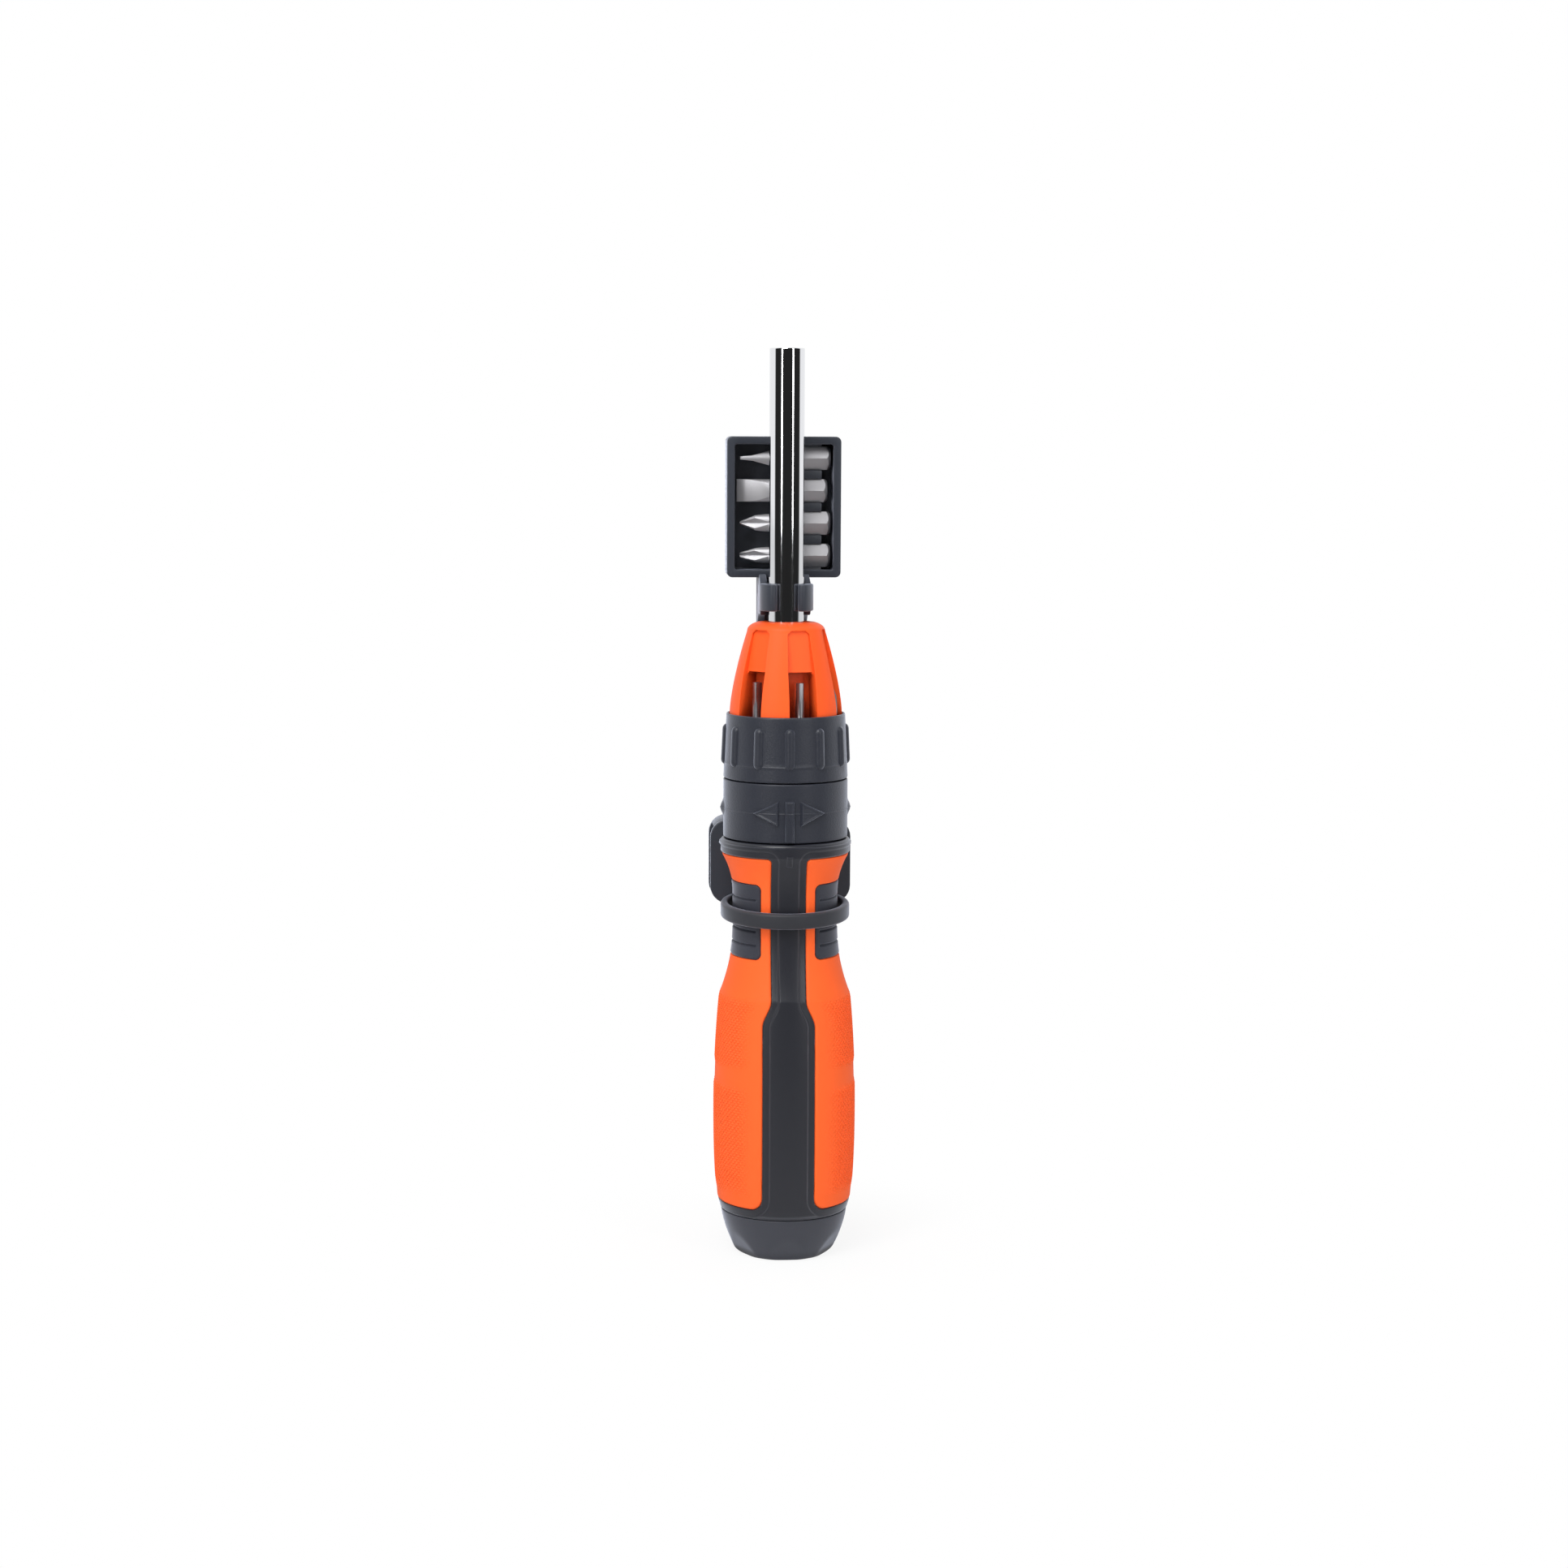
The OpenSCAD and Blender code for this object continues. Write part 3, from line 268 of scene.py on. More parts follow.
def pad_depth(x, z):
    """Depth inside the outline of a neck pad, seen from the front."""
    side = np.abs(x) - PAD_EDGE
    low = rounded_corner(side, z - PAD_LOW_Z, PAD_CORNER_R)
    return np.minimum(low, rounded_corner(side, PAD_HIGH_Z - z, PAD_CORNER_R))


def shell_mesh(outer, inner, heights, turns):
    """A curved shell between two skins, their radii over heights and turns, closed at its edges."""
    angle = np.radians(turns)[None, :]
    z = np.broadcast_to(heights[:, None], outer.shape)
    skins = [np.stack([r * np.sin(angle), -r * np.cos(angle), z], -1) for r in (outer, inner)]
    out = np.arange(outer.size).reshape(outer.shape)
    front = np.stack([out[:-1, :-1], out[:-1, 1:], out[1:, 1:], out[1:, :-1]], -1).reshape(-1, 4)
    back = np.roll(front[:, ::-1], 1, axis=1) + outer.size
    rim = np.concatenate([out[0, :-1], out[:-1, -1], out[-1, :0:-1], out[:0:-1, 0]])
    around = np.roll(rim, -1)
    sides = np.stack([rim, rim + outer.size, around + outer.size, around], -1)
    return mesh_of(np.reshape(skins, (-1, 3)), np.vstack([front, back, sides]).tolist())


# Orange elastomer: saturated and matt, with a dry grain that keeps its highlights wide and weak.
orange_elastomer = moulded("orange_elastomer", "F86124", 0.62, 0.4, 0.02, 0.25)

grip_heights = spaced((14.7, 18.6, 0.24), (18.6, 62, 0.9), (62, 76, 0.5), (76, 83, 0.7), (83, 88, 0.25),
                      (88, 101, 0.7), (101, 106.5, 0.25), (106.5, 110, 0.5), (110, 113.1, 0.24))
grip_turns = spaced((12, 42, 0.75), (42, 138, 2), (138, 168, 0.75))


def grip_skin(heights, turns):
    """Radii of a grip's outside over heights and turns."""
    z = heights[:, None]
    base = handle_radius(z)
    x = base * np.sin(np.radians(turns))[None, :]
    depth = grip_depth(x, z)
    in_pad = pad_depth(x, z)
    edge = np.where(depth > 0, edge_round(depth, GRIP_EDGE_R), GRIP_EDGE_R - EDGE_SLOPE * depth)
    seat = np.where(in_pad > 0, PAD_SEAT_R + EDGE_SLOPE * in_pad, edge_round(-in_pad, PAD_SEAT_R))
    return base + GRIP_PROUD - np.minimum(edge + seat, GRIP_SINK)


KNURL_PITCH_Z, KNURL_PITCH_ARC = 0.68, 1.4
KNURL_FIELDS = ((17.0, 49.6), (53.4, 74.0))
KNURL_HALF, KNURL_TOP_SHARE, KNURL_RISE, KNURL_SINK = 0.6, 0.3, 0.3, 0.03
KNURL_MARGIN, KNURL_FADE, KNURL_END, KNURL_END_FADE = 1.0, 6.0, 0.5, 2.5
KNURL_START, KNURL_LEAST, LEAN_HALF = 0.3, 0.2, 0.5


def geometry_tree(name, inputs):
    """A new Geometry Nodes tree with named inputs, the outputs that give them and their identifiers."""
    tree = bpy.data.node_groups.new(name, "GeometryNodeTree")
    tree.is_modifier = True
    tree.interface.new_socket("Geometry", in_out="OUTPUT", socket_type="NodeSocketGeometry")
    keys = {}
    for label, kind in [("Geometry", "Geometry"), ("Material", "Material")] + inputs:
        socket = tree.interface.new_socket(label, in_out="INPUT", socket_type="NodeSocket" + kind)
        keys[label] = socket.identifier
    return tree, add(tree, "NodeGroupInput").outputs, keys


def end_tree(tree, given, instances):
    """Ends a tree: its instances are made real, given its material and handed out."""
    real = add(tree, "GeometryNodeRealizeInstances", {"Geometry": instances})
    coated = add(tree, "GeometryNodeSetMaterial", {"Geometry": real, "Material": given["Material"]})
    add(tree, "NodeGroupOutput", {"Geometry": coated})


def made_plain(host):
    """The plain mesh that an object's modifiers make of it; the object itself goes."""
    mesh = bpy.data.meshes.new_from_object(host.evaluated_get(bpy.context.evaluated_depsgraph_get()))
    host.modifiers.clear()
    bpy.data.objects.remove(host)
    return mesh


def grown(base, tree, keys, values):
    """What a tree makes on a base mesh with these values, as a plain mesh."""
    host = linked(tree.name, base)
    modifier = host.modifiers.new("grow", "NODES")
    modifier.node_group = tree
    for label, value in values.items():
        modifier[keys[label]] = value
    return made_plain(host)


knurl, knurl_in, knurl_keys = geometry_tree("diamond_knurl", [
    ("Half width", "Float"), ("Top share", "Float"), ("Rise", "Float")])
stud_top = add(knurl, "ShaderNodeMath", {
    "operation": "MULTIPLY", 0: knurl_in["Half width"], 1: knurl_in["Top share"]})
stud = add(knurl, "GeometryNodeMeshCone", {
    "Vertices": 4, "fill_type": "NGON", "Radius Top": stud_top,
    "Radius Bottom": knurl_in["Half width"], "Depth": knurl_in["Rise"]})
outward = add(knurl, "GeometryNodeInputNamedAttribute", {"data_type": "FLOAT_VECTOR", "Name": "outward"})
fullness = add(knurl, "GeometryNodeInputNamedAttribute", {"data_type": "FLOAT", "Name": "fullness"})
facing_out = add(knurl, "FunctionNodeAlignRotationToVector", {
    "axis": "Z", "Vector": outward.outputs["Attribute"]})
upright = add(knurl, "FunctionNodeAlignRotationToVector", {
    "axis": "X", "pivot_axis": "Z", "Vector": (0, 0, 1), "Rotation": facing_out})
studs = add(knurl, "GeometryNodeInstanceOnPoints", {
    "Points": knurl_in["Geometry"], "Instance": stud, "Rotation": upright,
    "Scale": fullness.outputs["Attribute"]})
end_tree(knurl, knurl_in, studs)


def knurl_points(side):
    """Where the diamonds of one grip stand: staggered rows, thinning out towards the stripe."""
    spots, outs, sizes = [], [], []
    step = KNURL_PITCH_ARC / BELLY_R
    for low, high in KNURL_FIELDS:
        for row, z in enumerate(np.arange(low, high, KNURL_PITCH_Z)):
            r = handle_radius(z) + GRIP_PROUD - KNURL_SINK
            lean = (handle_radius(z + LEAN_HALF) - handle_radius(z - LEAN_HALF)) / (2 * LEAN_HALF)
            turns = np.arange(KNURL_START + (row % 2) * step / 2, math.pi - KNURL_START, step)
            around = np.stack([side * np.sin(turns), -np.cos(turns), 0 * turns], -1)
            full = ease((grip_depth(r * np.sin(turns), z) - KNURL_MARGIN) / KNURL_FADE)
            full = full * min(1.0, (min(z - low, high - z) + KNURL_END) / KNURL_END_FADE)
            kept = full > KNURL_LEAST
            spots.append((r * around + (0, 0, z))[kept])
            outs.append((around - (0, 0, lean))[kept] / np.hypot(1, lean))
            sizes.append(full[kept])
    mesh = mesh_of(np.concatenate(spots), [])
    outward = mesh.attributes.new("outward", "FLOAT_VECTOR", "POINT")
    outward.data.foreach_set("vector", np.concatenate(outs).ravel())
    fullness = mesh.attributes.new("fullness", "FLOAT", "POINT")
    fullness.data.foreach_set("value", np.concatenate(sizes))
    return mesh


for side, hand in ((-1, "left"), (1, "right")):
    turns = grip_turns if side > 0 else -grip_turns[::-1]
    outer = grip_skin(grip_heights, turns)
    inner = np.minimum(handle_radius(grip_heights)[:, None] - GRIP_T, outer - THINNEST)
    grip = placed(shell_mesh(outer, inner, grip_heights, turns), "soft_grip_" + hand, orange_elastomer)
    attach(grip, "handle")
    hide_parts("grip_" + hand)
    field = grown(knurl_points(side), knurl, knurl_keys, {
        "Half width": KNURL_HALF * MM, "Top share": KNURL_TOP_SHARE, "Rise": KNURL_RISE * MM,
        "Material": orange_elastomer})
    diamonds = placed(field, "grip_knurl_" + hand, orange_elastomer)
    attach(diamonds, "handle")

# Neck pads: two pads of softer black elastomer for the finger and thumb, set into the grips at the neck.
# They are a third shot in the same mould, a little proud of the grips, with four grooves across each.
PAD_PROUD, PAD_EDGE_R, PAD_SINK, PAD_BED = 0.22, 0.6, 1.5, 0.05
PAD_GROOVES_Z = (88.0, 92.0, 96.2, 100.5)
PAD_GROOVE_DEPTH, PAD_GROOVE_HALF, PAD_GROOVE_END, PAD_GROOVE_FADE = 0.55, 0.5, 0.9, 0.5

# Soft black elastomer: a matt black that turns pale at the sides.
black_elastomer = moulded("black_elastomer", "2E303A", 0.6, 0.35, 0.02, 0.4, 0.9)

pad_heights = spaced((83.8, 86.5, 0.2), (86.5, 103, 0.2), (103, 105.3, 0.2))
pad_turns = spaced((29, 42, 0.8), (42, 138, 2), (138, 151, 0.8))

for side, hand in ((-1, "left"), (1, "right")):
    turns = pad_turns if side > 0 else -pad_turns[::-1]
    z = pad_heights[:, None]
    base = handle_radius(z)
    depth = pad_depth(base * np.sin(np.radians(turns))[None, :], z)
    edge = np.where(depth > 0, edge_round(depth, PAD_EDGE_R), PAD_EDGE_R - EDGE_SLOPE * depth)
    groove = sum(1 - ease(np.abs(z - middle) / PAD_GROOVE_HALF) for middle in PAD_GROOVES_Z)
    groove = PAD_GROOVE_DEPTH * groove * ease((depth - PAD_GROOVE_END) / PAD_GROOVE_FADE)
    outer = base + PAD_PROUD - np.minimum(edge, PAD_SINK) - groove
    inner = np.minimum(base - GRIP_T + PAD_BED, outer - THINNEST)
    pad = placed(shell_mesh(outer, inner, pad_heights, turns), "finger_pad_" + hand, black_elastomer)
    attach(pad, "handle")
    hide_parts("neck_pad_" + hand)

# Ratchet works: the zinc housing screwed on the flange, its bronze bush and washer, the pins, springs and
# cover, and the gear and circlip of the spindle. They are cast, turned or stamped, and hidden in the head.
WORKED_TEXTURE = {"Detail": 3.0}


def bare_metal(name, colour, roughness, grain, depth):
    """A bare metal with the fine unevenness of its making, its size in millimetres."""
    settings = {"Base Color": linear(colour), "Metallic": 1.0, "Roughness": roughness}
    return surface(name, grain, depth, WORKED_TEXTURE, settings)[0]


def coat(names, material):
    """Gives solids that stay as they are their material."""
    for name in names:
        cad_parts[name].data.materials.clear()
        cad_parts[name].data.materials.append(material)


# Die-cast zinc: dull and grey. Sintered bronze: warm and dull. Zinc-plated and spring steel: brighter.
# Hardened steel: darker and half bright.
die_cast_zinc = bare_metal("die_cast_zinc", "9A9B9F", 0.45, 0.6, 0.01)
sintered_bronze = bare_metal("sintered_bronze", "B8925A", 0.42, 0.3, 0.008)
plated_steel = bare_metal("zinc_plated_steel", "C4C6C8", 0.28, 0.5, 0.004)
spring_steel = bare_metal("spring_steel", "A9ABAF", 0.3, 0.5, 0.004)
hardened_steel = bare_metal("hardened_steel", "8A8B90", 0.34, 0.4, 0.006)

coat(["ratchet_housing", "pawl_cover"], die_cast_zinc)
coat(["spindle_bush", "thrust_washer"], sintered_bronze)
coat(["housing_screws", "cover_screws"], plated_steel)
coat(["pawl_spring", "detent_spring", "shaft_circlip", "socket_ring"], spring_steel)
coat(["pawl_left", "pawl_right", "pawl_pins", "ratchet_gear"], hardened_steel)

# Selector ring: a grained polypropylene moulding that turns on the housing to pick the ratchet's direction.
# Two raised arrows and a middle bar stand on its front, a thumb stud on each side, and a fine parting
# line runs round it.
SELECTOR_LOW_Z, SELECTOR_HIGH_Z, SELECTOR_R, SELECTOR_EDGE = 116.9, 133.0, 17.1, 0.4
SELECTOR_MID_Z = (SELECTOR_LOW_Z + SELECTOR_HIGH_Z) / 2
SELECTOR_BORE_R, DETENT_R, DETENT_LOW_Z, DETENT_HIGH_Z = 14.1, 14.6, 118.6, 126.6
ARROW_BASE, ARROW_TIP, ARROW_HALF_H, ARROW_RISE, BAR_HALF_W = 2.9, 9.8, 3.45, 0.6, 1.3
ARROW_EDGE, ARROW_LIP_IN, ARROW_LIP_HALF, ARROW_LIP_RISE = 0.3, 0.4, 0.35, 0.2
STUD_R, STUD_RISE = 2.9, 0.85
PARTING_HALF, PARTING_RISE = 0.2, 0.1

# Grained black polypropylene: greyer than the core, since its coarser mould texture breaks up the light.
grained_polypropylene = moulded("grained_polypropylene", "252832", 0.42, 0.5, 0.06, 0.5, 0.9)

selector_turns = spaced((-38, 38, 0.6), (38, 74, 3), (74, 106, 1), (106, 254, 4), (254, 286, 1),
                        (286, 319, 3))
selector_heights = spaced((SELECTOR_LOW_Z + SELECTOR_EDGE, 124.6, 0.2), (124.6, 125.3, 0.1),
                          (125.3, SELECTOR_HIGH_Z - SELECTOR_EDGE, 0.2))


def arrow_depth(x, z):
    """Depth inside the arrows and the bar, seen from the front."""
    slope = ARROW_HALF_H / (ARROW_TIP - ARROW_BASE)
    rise = ARROW_HALF_H - slope * (np.abs(x) - ARROW_BASE) - np.abs(z - SELECTOR_MID_Z)
    arrow = np.minimum(rise / math.hypot(1, slope), np.abs(x) - ARROW_BASE)
    bar = np.minimum(BAR_HALF_W - np.abs(x), SELECTOR_MID_Z + ARROW_HALF_H - z)
    return np.maximum(arrow, bar)


def parting_line(z, middle):
    """The fine ridge where the halves of a mould met."""
    return PARTING_RISE * (1 - ease(np.abs(z - middle) / PARTING_HALF))


def selector_radius(z):
    """Radius of the selector's outside all round, at a height."""
    x = SELECTOR_R * np.sin(np.radians(selector_turns))
    y = SELECTOR_R * np.cos(np.radians(selector_turns))
    depth = arrow_depth(x, z)
    lip = ARROW_LIP_RISE * (1 - ease(np.abs(depth - ARROW_LIP_IN) / ARROW_LIP_HALF))
    marks = (ARROW_RISE * ease(depth / ARROW_EDGE) + lip) * (y > 0)
    away = np.hypot(y, z - SELECTOR_MID_Z)
    thumb = STUD_RISE / 2 * (1 + np.cos(math.pi * np.minimum(1, away / STUD_R)))
    return SELECTOR_R + marks + thumb + parting_line(z, SELECTOR_MID_Z)


selector_rows = [
    *arc(SELECTOR_R - SELECTOR_EDGE, SELECTOR_LOW_Z + SELECTOR_EDGE, SELECTOR_EDGE, -90, -10),
    *[(selector_radius(z), z) for z in selector_heights],
    *arc(SELECTOR_R - SELECTOR_EDGE, SELECTOR_HIGH_Z - SELECTOR_EDGE, SELECTOR_EDGE, 10, 90),
    (SELECTOR_BORE_R, SELECTOR_HIGH_Z), (SELECTOR_BORE_R, DETENT_HIGH_Z), (DETENT_R, DETENT_HIGH_Z),
    (DETENT_R, DETENT_LOW_Z), (SELECTOR_BORE_R, DETENT_LOW_Z), (SELECTOR_BORE_R, SELECTOR_LOW_Z)]
selector_mesh = turned_mesh(selector_rows, selector_turns, "ring")
selector = placed(selector_mesh, "direction_ring", grained_polypropylene)
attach(selector, "selector")
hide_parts("selector_ring")

# Shaft: a hardened steel bar, turned, polished and chrome plated, with a broached hexagon socket in its tip.
# Its lower end runs in the bush of the handle; a magnet lies at the foot of the socket.
SHAFT_R, SHAFT_TOP, SHAFT_EDGE, DECK_Z = 4.8, 250.0, 0.25, 149.0
JOURNAL_R, JOURNAL_LOW_Z, JOURNAL_EDGE = 4.45, 81.5, 0.6
SOCKET_FLAT, SOCKET_DEPTH, SOCKET_EASE, MAGNET_R, MAGNET_DEPTH = 3.2, 13.5, 0.35, 2.93, 3.05
SOCKET_FLOOR_Z = SHAFT_TOP - SOCKET_DEPTH

# Polished chrome: a mirror, with only a breath of waviness left by the polishing wheel.
polished_chrome = bare_metal("polished_chrome", "E6E7EA", 0.05, 2.5, 0.0001)
# Nickel plating: a little warmer and duller than the chrome round it.
polished_magnet = bare_metal("nickel_plated_magnet", "B9B8B2", 0.25, 0.5, 0.002)

shaft_turns = np.arange(0, 360, 2.0)
hexagon = SOCKET_FLAT / np.cos(np.radians((shaft_turns + 30) % 60 - 30))
shaft_rows = [
    (JOURNAL_R - JOURNAL_EDGE, JOURNAL_LOW_Z), (JOURNAL_R, JOURNAL_LOW_Z + JOURNAL_EDGE),
    (JOURNAL_R, DECK_Z), (SHAFT_R, DECK_Z),
    *[(SHAFT_R, z) for z in np.linspace(DECK_Z + 1, SHAFT_TOP - SHAFT_EDGE - 0.1, 12)],
    *arc(SHAFT_R - SHAFT_EDGE, SHAFT_TOP - SHAFT_EDGE, SHAFT_EDGE, 10, 90),
    (hexagon + SOCKET_EASE, SHAFT_TOP), (hexagon, SHAFT_TOP - SOCKET_EASE), (hexagon, SOCKET_FLOOR_Z),
    (MAGNET_R, SOCKET_FLOOR_Z), (MAGNET_R, SOCKET_FLOOR_Z - MAGNET_DEPTH)]
shaft = placed(turned_mesh(shaft_rows, shaft_turns, "axis"), "chrome_shaft", polished_chrome, 40)
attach(shaft, "spindle")
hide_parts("shaft")
coat(["socket_magnet"], polished_magnet)

# Bit collar: a grained black polypropylene cup that turns with the shaft and holds six bits upright.
# Twelve round ribs stand on its outside for the fingers, and its thin rim hides the foot of the cone.
COLLAR_LOW_Z, COLLAR_TOP, COLLAR_R, COLLAR_EDGE, COLLAR_PARTING_Z = 133.3, 151.0, 17.1, 0.4, 137.5
COLLAR_RIM_R, RIM_IN_R, RIM_EDGE, RIM_DROP = 16.3, 15.55, 0.35, 0.5
COLLAR_BORE_R, COLLAR_RECESS_R, COLLAR_RECESS = 6.0, 8.0, 1.0
DECK_IN_R, DECK_STEP = 6.2, 0.3
BIT_TURNS = np.arange(6) * 60 + 15.0
BIT_CIRCLE, BIT_POCKET_R, BIT_POCKET_DEPTH, BIT_POCKET_EDGE = 11.8, 3.8, 4.0, 0.25
RIB_COUNT, RIB_R, RIB_RISE, RIB_LOW_Z, RIB_HIGH_Z = 12, 1.5, 0.9, 138.2, 146.6
collar_turns = np.arange(0, 360, 1.0)


def collar_side(z):
    """Radius of the collar's tapering side at a height."""
    return COLLAR_R + (COLLAR_RIM_R - COLLAR_R) * along(z, COLLAR_LOW_Z, COLLAR_TOP)


def deck_height(radius):
    """Height of the collar's deck all round, at a radius: six pockets are sunk in it."""
    nearest = np.abs((collar_turns[:, None] - BIT_TURNS[None, :] + 180) % 360 - 180).min(axis=1)
    away = np.hypot(radius * np.cos(np.radians(nearest)) - BIT_CIRCLE, radius * np.sin(np.radians(nearest)))
    return DECK_Z - BIT_POCKET_DEPTH * ease((BIT_POCKET_R - away) / BIT_POCKET_EDGE)


collar_heights = spaced((134, 137.3, 0.6), (137.3, 137.7, 0.1), (137.7, 150.3, 0.9))
collar_rows = [
    (COLLAR_BORE_R, COLLAR_LOW_Z + COLLAR_RECESS), (COLLAR_RECESS_R, COLLAR_LOW_Z + COLLAR_RECESS),
    (COLLAR_RECESS_R, COLLAR_LOW_Z),
    *arc(COLLAR_R - COLLAR_EDGE, COLLAR_LOW_Z + COLLAR_EDGE, COLLAR_EDGE, -90, -10),
    *[(collar_side(z) + parting_line(z, COLLAR_PARTING_Z), z) for z in collar_heights],
    *arc(COLLAR_RIM_R - RIM_EDGE, COLLAR_TOP - RIM_EDGE, RIM_EDGE, 10, 170),
    (RIM_IN_R, COLLAR_TOP - RIM_DROP),
    *[(r, deck_height(r)) for r in np.arange(RIM_IN_R, DECK_IN_R, -DECK_STEP)]]
collar = placed(turned_mesh(collar_rows, collar_turns, "axis"), "bit_cup", grained_polypropylene)
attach(collar, "spindle")
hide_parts("bit_collar")

ribs, ribs_in, ribs_keys = geometry_tree("collar_ribs", [
    ("Count", "Int"), ("Rib radius", "Float"), ("Rib length", "Float"), ("Lean", "Vector"),
    ("Circle radius", "Float"), ("Middle", "Vector")])
bar = add(ribs, "GeometryNodeMeshCylinder", {
    "Vertices": 24, "fill_type": "NGON", "Radius": ribs_in["Rib radius"],
    "Depth": ribs_in["Rib length"]})
ball = add(ribs, "GeometryNodeMeshUVSphere", {"Segments": 24, "Rings": 12, "Radius": ribs_in["Rib radius"]})
rib = add(ribs, "GeometryNodeJoinGeometry", {"Geometry": bar})
for share in (0.5, -0.5):
    end = add(ribs, "ShaderNodeVectorMath", {
        "operation": "SCALE", 0: (0, 0, share), "Scale": ribs_in["Rib length"]})
    round_end = add(ribs, "GeometryNodeTransform", {"Geometry": ball, "Translation": end})
    ribs.links.new(round_end.outputs["Geometry"], rib.inputs["Geometry"])
leaning = add(ribs, "GeometryNodeTransform", {"Geometry": rib, "Rotation": ribs_in["Lean"]})
circle = add(ribs, "GeometryNodeMeshCircle", {
    "Vertices": ribs_in["Count"], "Radius": ribs_in["Circle radius"]})
spot = add(ribs, "GeometryNodeInputPosition")
turn_out = add(ribs, "FunctionNodeAlignRotationToVector", {"axis": "X", "pivot_axis": "Z", "Vector": spot})
low_ribs = add(ribs, "GeometryNodeInstanceOnPoints", {
    "Points": circle, "Instance": leaning, "Rotation": turn_out})
all_ribs = add(ribs, "GeometryNodeTransform", {"Geometry": low_ribs, "Translation": ribs_in["Middle"]})
end_tree(ribs, ribs_in, all_ribs)

rib_mid_z = (RIB_LOW_Z + RIB_HIGH_Z) / 2
rib_lean = math.atan((COLLAR_R - COLLAR_RIM_R) / (COLLAR_TOP - COLLAR_LOW_Z))
rib_mesh = grown(bpy.data.meshes.new("rib_seed"), ribs, ribs_keys, {
    "Count": RIB_COUNT, "Rib radius": RIB_R * MM, "Rib length": (RIB_HIGH_Z - RIB_LOW_Z) * MM,
    "Lean": Vector((0, -rib_lean, 0)), "Circle radius": (collar_side(rib_mid_z) + RIB_RISE - RIB_R) * MM,
    "Middle": Vector((0, 0, rib_mid_z)) * MM, "Material": grained_polypropylene})
collar_ribs = placed(rib_mesh, "bit_cup_ribs", grained_polypropylene, 50)
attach(collar_ribs, "spindle")

# Nose cone: an orange ABS moulding pegged on the collar's deck round the shaft.
# Six windows show the tips of the bits, and a groove runs up from each window to let a bit be lifted out.
CONE_LOW_Z, CONE_SHOULDER_Z, CONE_TOP, CONE_R, CONE_TOP_R = 149.03, 173.7, 176.0, 15.45, 10.65
CONE_SWELL, CONE_TOP_DROP, CONE_TOP_CURVE = 1.47, 4.2, 1.8
CONE_EDGE_R, CONE_EDGE_SHARE, CONE_BORE_R, CONE_BORE_EASE = 0.22, 0.45, 4.83, 0.3
WINDOW_TOP_Z, WINDOW_HALF, WINDOW_TOP_HALF, WINDOW_FLOOR, WINDOW_CORNER = 162.75, 3.95, 3.8, 8.0, 0.8
GROOVE_TOP_Z, GROOVE_TOP_HALF, GROOVE_FLOOR, GROOVE_TOP_FLOOR = 174.0, 3.0, 11.5, 9.6
GROOVE_END_H, GROOVE_END_CLOSE = 0.9, 0.3
LEAST_CUT, CUT_MISS = 0.02, 0.01
HOLLOW_REACH, HOLLOW_DARK, HOLLOW_LIT = 9.0, 0.1, 0.45

# Orange ABS: as bright as the grips and smoother, so the lamps leave a soft sheen on its lands.
# Deep behind the windows, where little light comes, its colour is darkened to a dark red by ambient
# occlusion: painted shade.
ABS_ORANGE, ABS_SHADE = "F65A22", "5C1206"
orange_abs = moulded("orange_abs", ABS_ORANGE, 0.45, 0.5, 0.008, 0.2)
abs_tree = orange_abs.node_tree
# Painted shade: the base colour goes from orange to ABS_SHADE wherever ambient occlusion finds a hollow.
open_to_light = add(abs_tree, "ShaderNodeAmbientOcclusion", {"samples": 8, "Distance": HOLLOW_REACH * MM})
lit = add(abs_tree, "ShaderNodeMapRange", {
    "From Min": HOLLOW_DARK, "From Max": HOLLOW_LIT, "Value": open_to_light.outputs["AO"]})
abs_colour_with_painted_shade = add(abs_tree, "ShaderNodeMix", {
    "data_type": "RGBA", 6: linear(ABS_SHADE), 7: linear(ABS_ORANGE), 0: lit})
abs_tree.links.new(abs_colour_with_painted_shade.outputs[2], abs_tree.nodes["Principled BSDF"].inputs["Base Color"])


def cone_radius(z):
    """Radius of the cone's lands at a height."""
    if z <= CONE_SHOULDER_Z:
        return CONE_R - (CONE_R - CONE_TOP_R) * along(z, COLLAR_TOP, CONE_SHOULDER_Z) ** CONE_SWELL
    over = along(z, CONE_SHOULDER_Z, CONE_TOP) ** CONE_TOP_CURVE
    return CONE_TOP_R - CONE_TOP_DROP * (1 - math.sqrt(1 - over))


def cone_half_sector(radius, floor, half, inner_half):
    """One side of a sector, from the middle of a land to the middle of a groove, as points along and across.
    Behind the floor of the grooves the walls of a window may come closer together."""
    brow = math.sqrt(radius * radius - half * half)
    cut = brow - floor
    edge = max(0.0, min(CONE_EDGE_R, CONE_EDGE_SHARE * cut))
    ledge = min(max(floor, GROOVE_FLOOR), brow - edge)
    land_end = math.degrees(math.asin(min(1, (half + edge) / radius)))
    side = arc(0, 0, radius, 30, land_end, 9)
    if cut > LEAST_CUT:
        side += [(brow - 0.08 * edge, half + 0.55 * edge), (brow - 0.3 * edge, half + 0.2 * edge)]
        side += [(brow - edge, half), (ledge, half), (ledge, inner_half)]
        side += [(floor, inner_half * s) for s in (1, 0.93, 0.6, 0.3)]
    else:
        across = half * np.array([0.97, 0.94, 0.9, 0.86, 0.82, 0.78, 0.72, 0.5, 0.25])
        side += [(math.sqrt(radius * radius - q * q), q) for q in across]
    return side


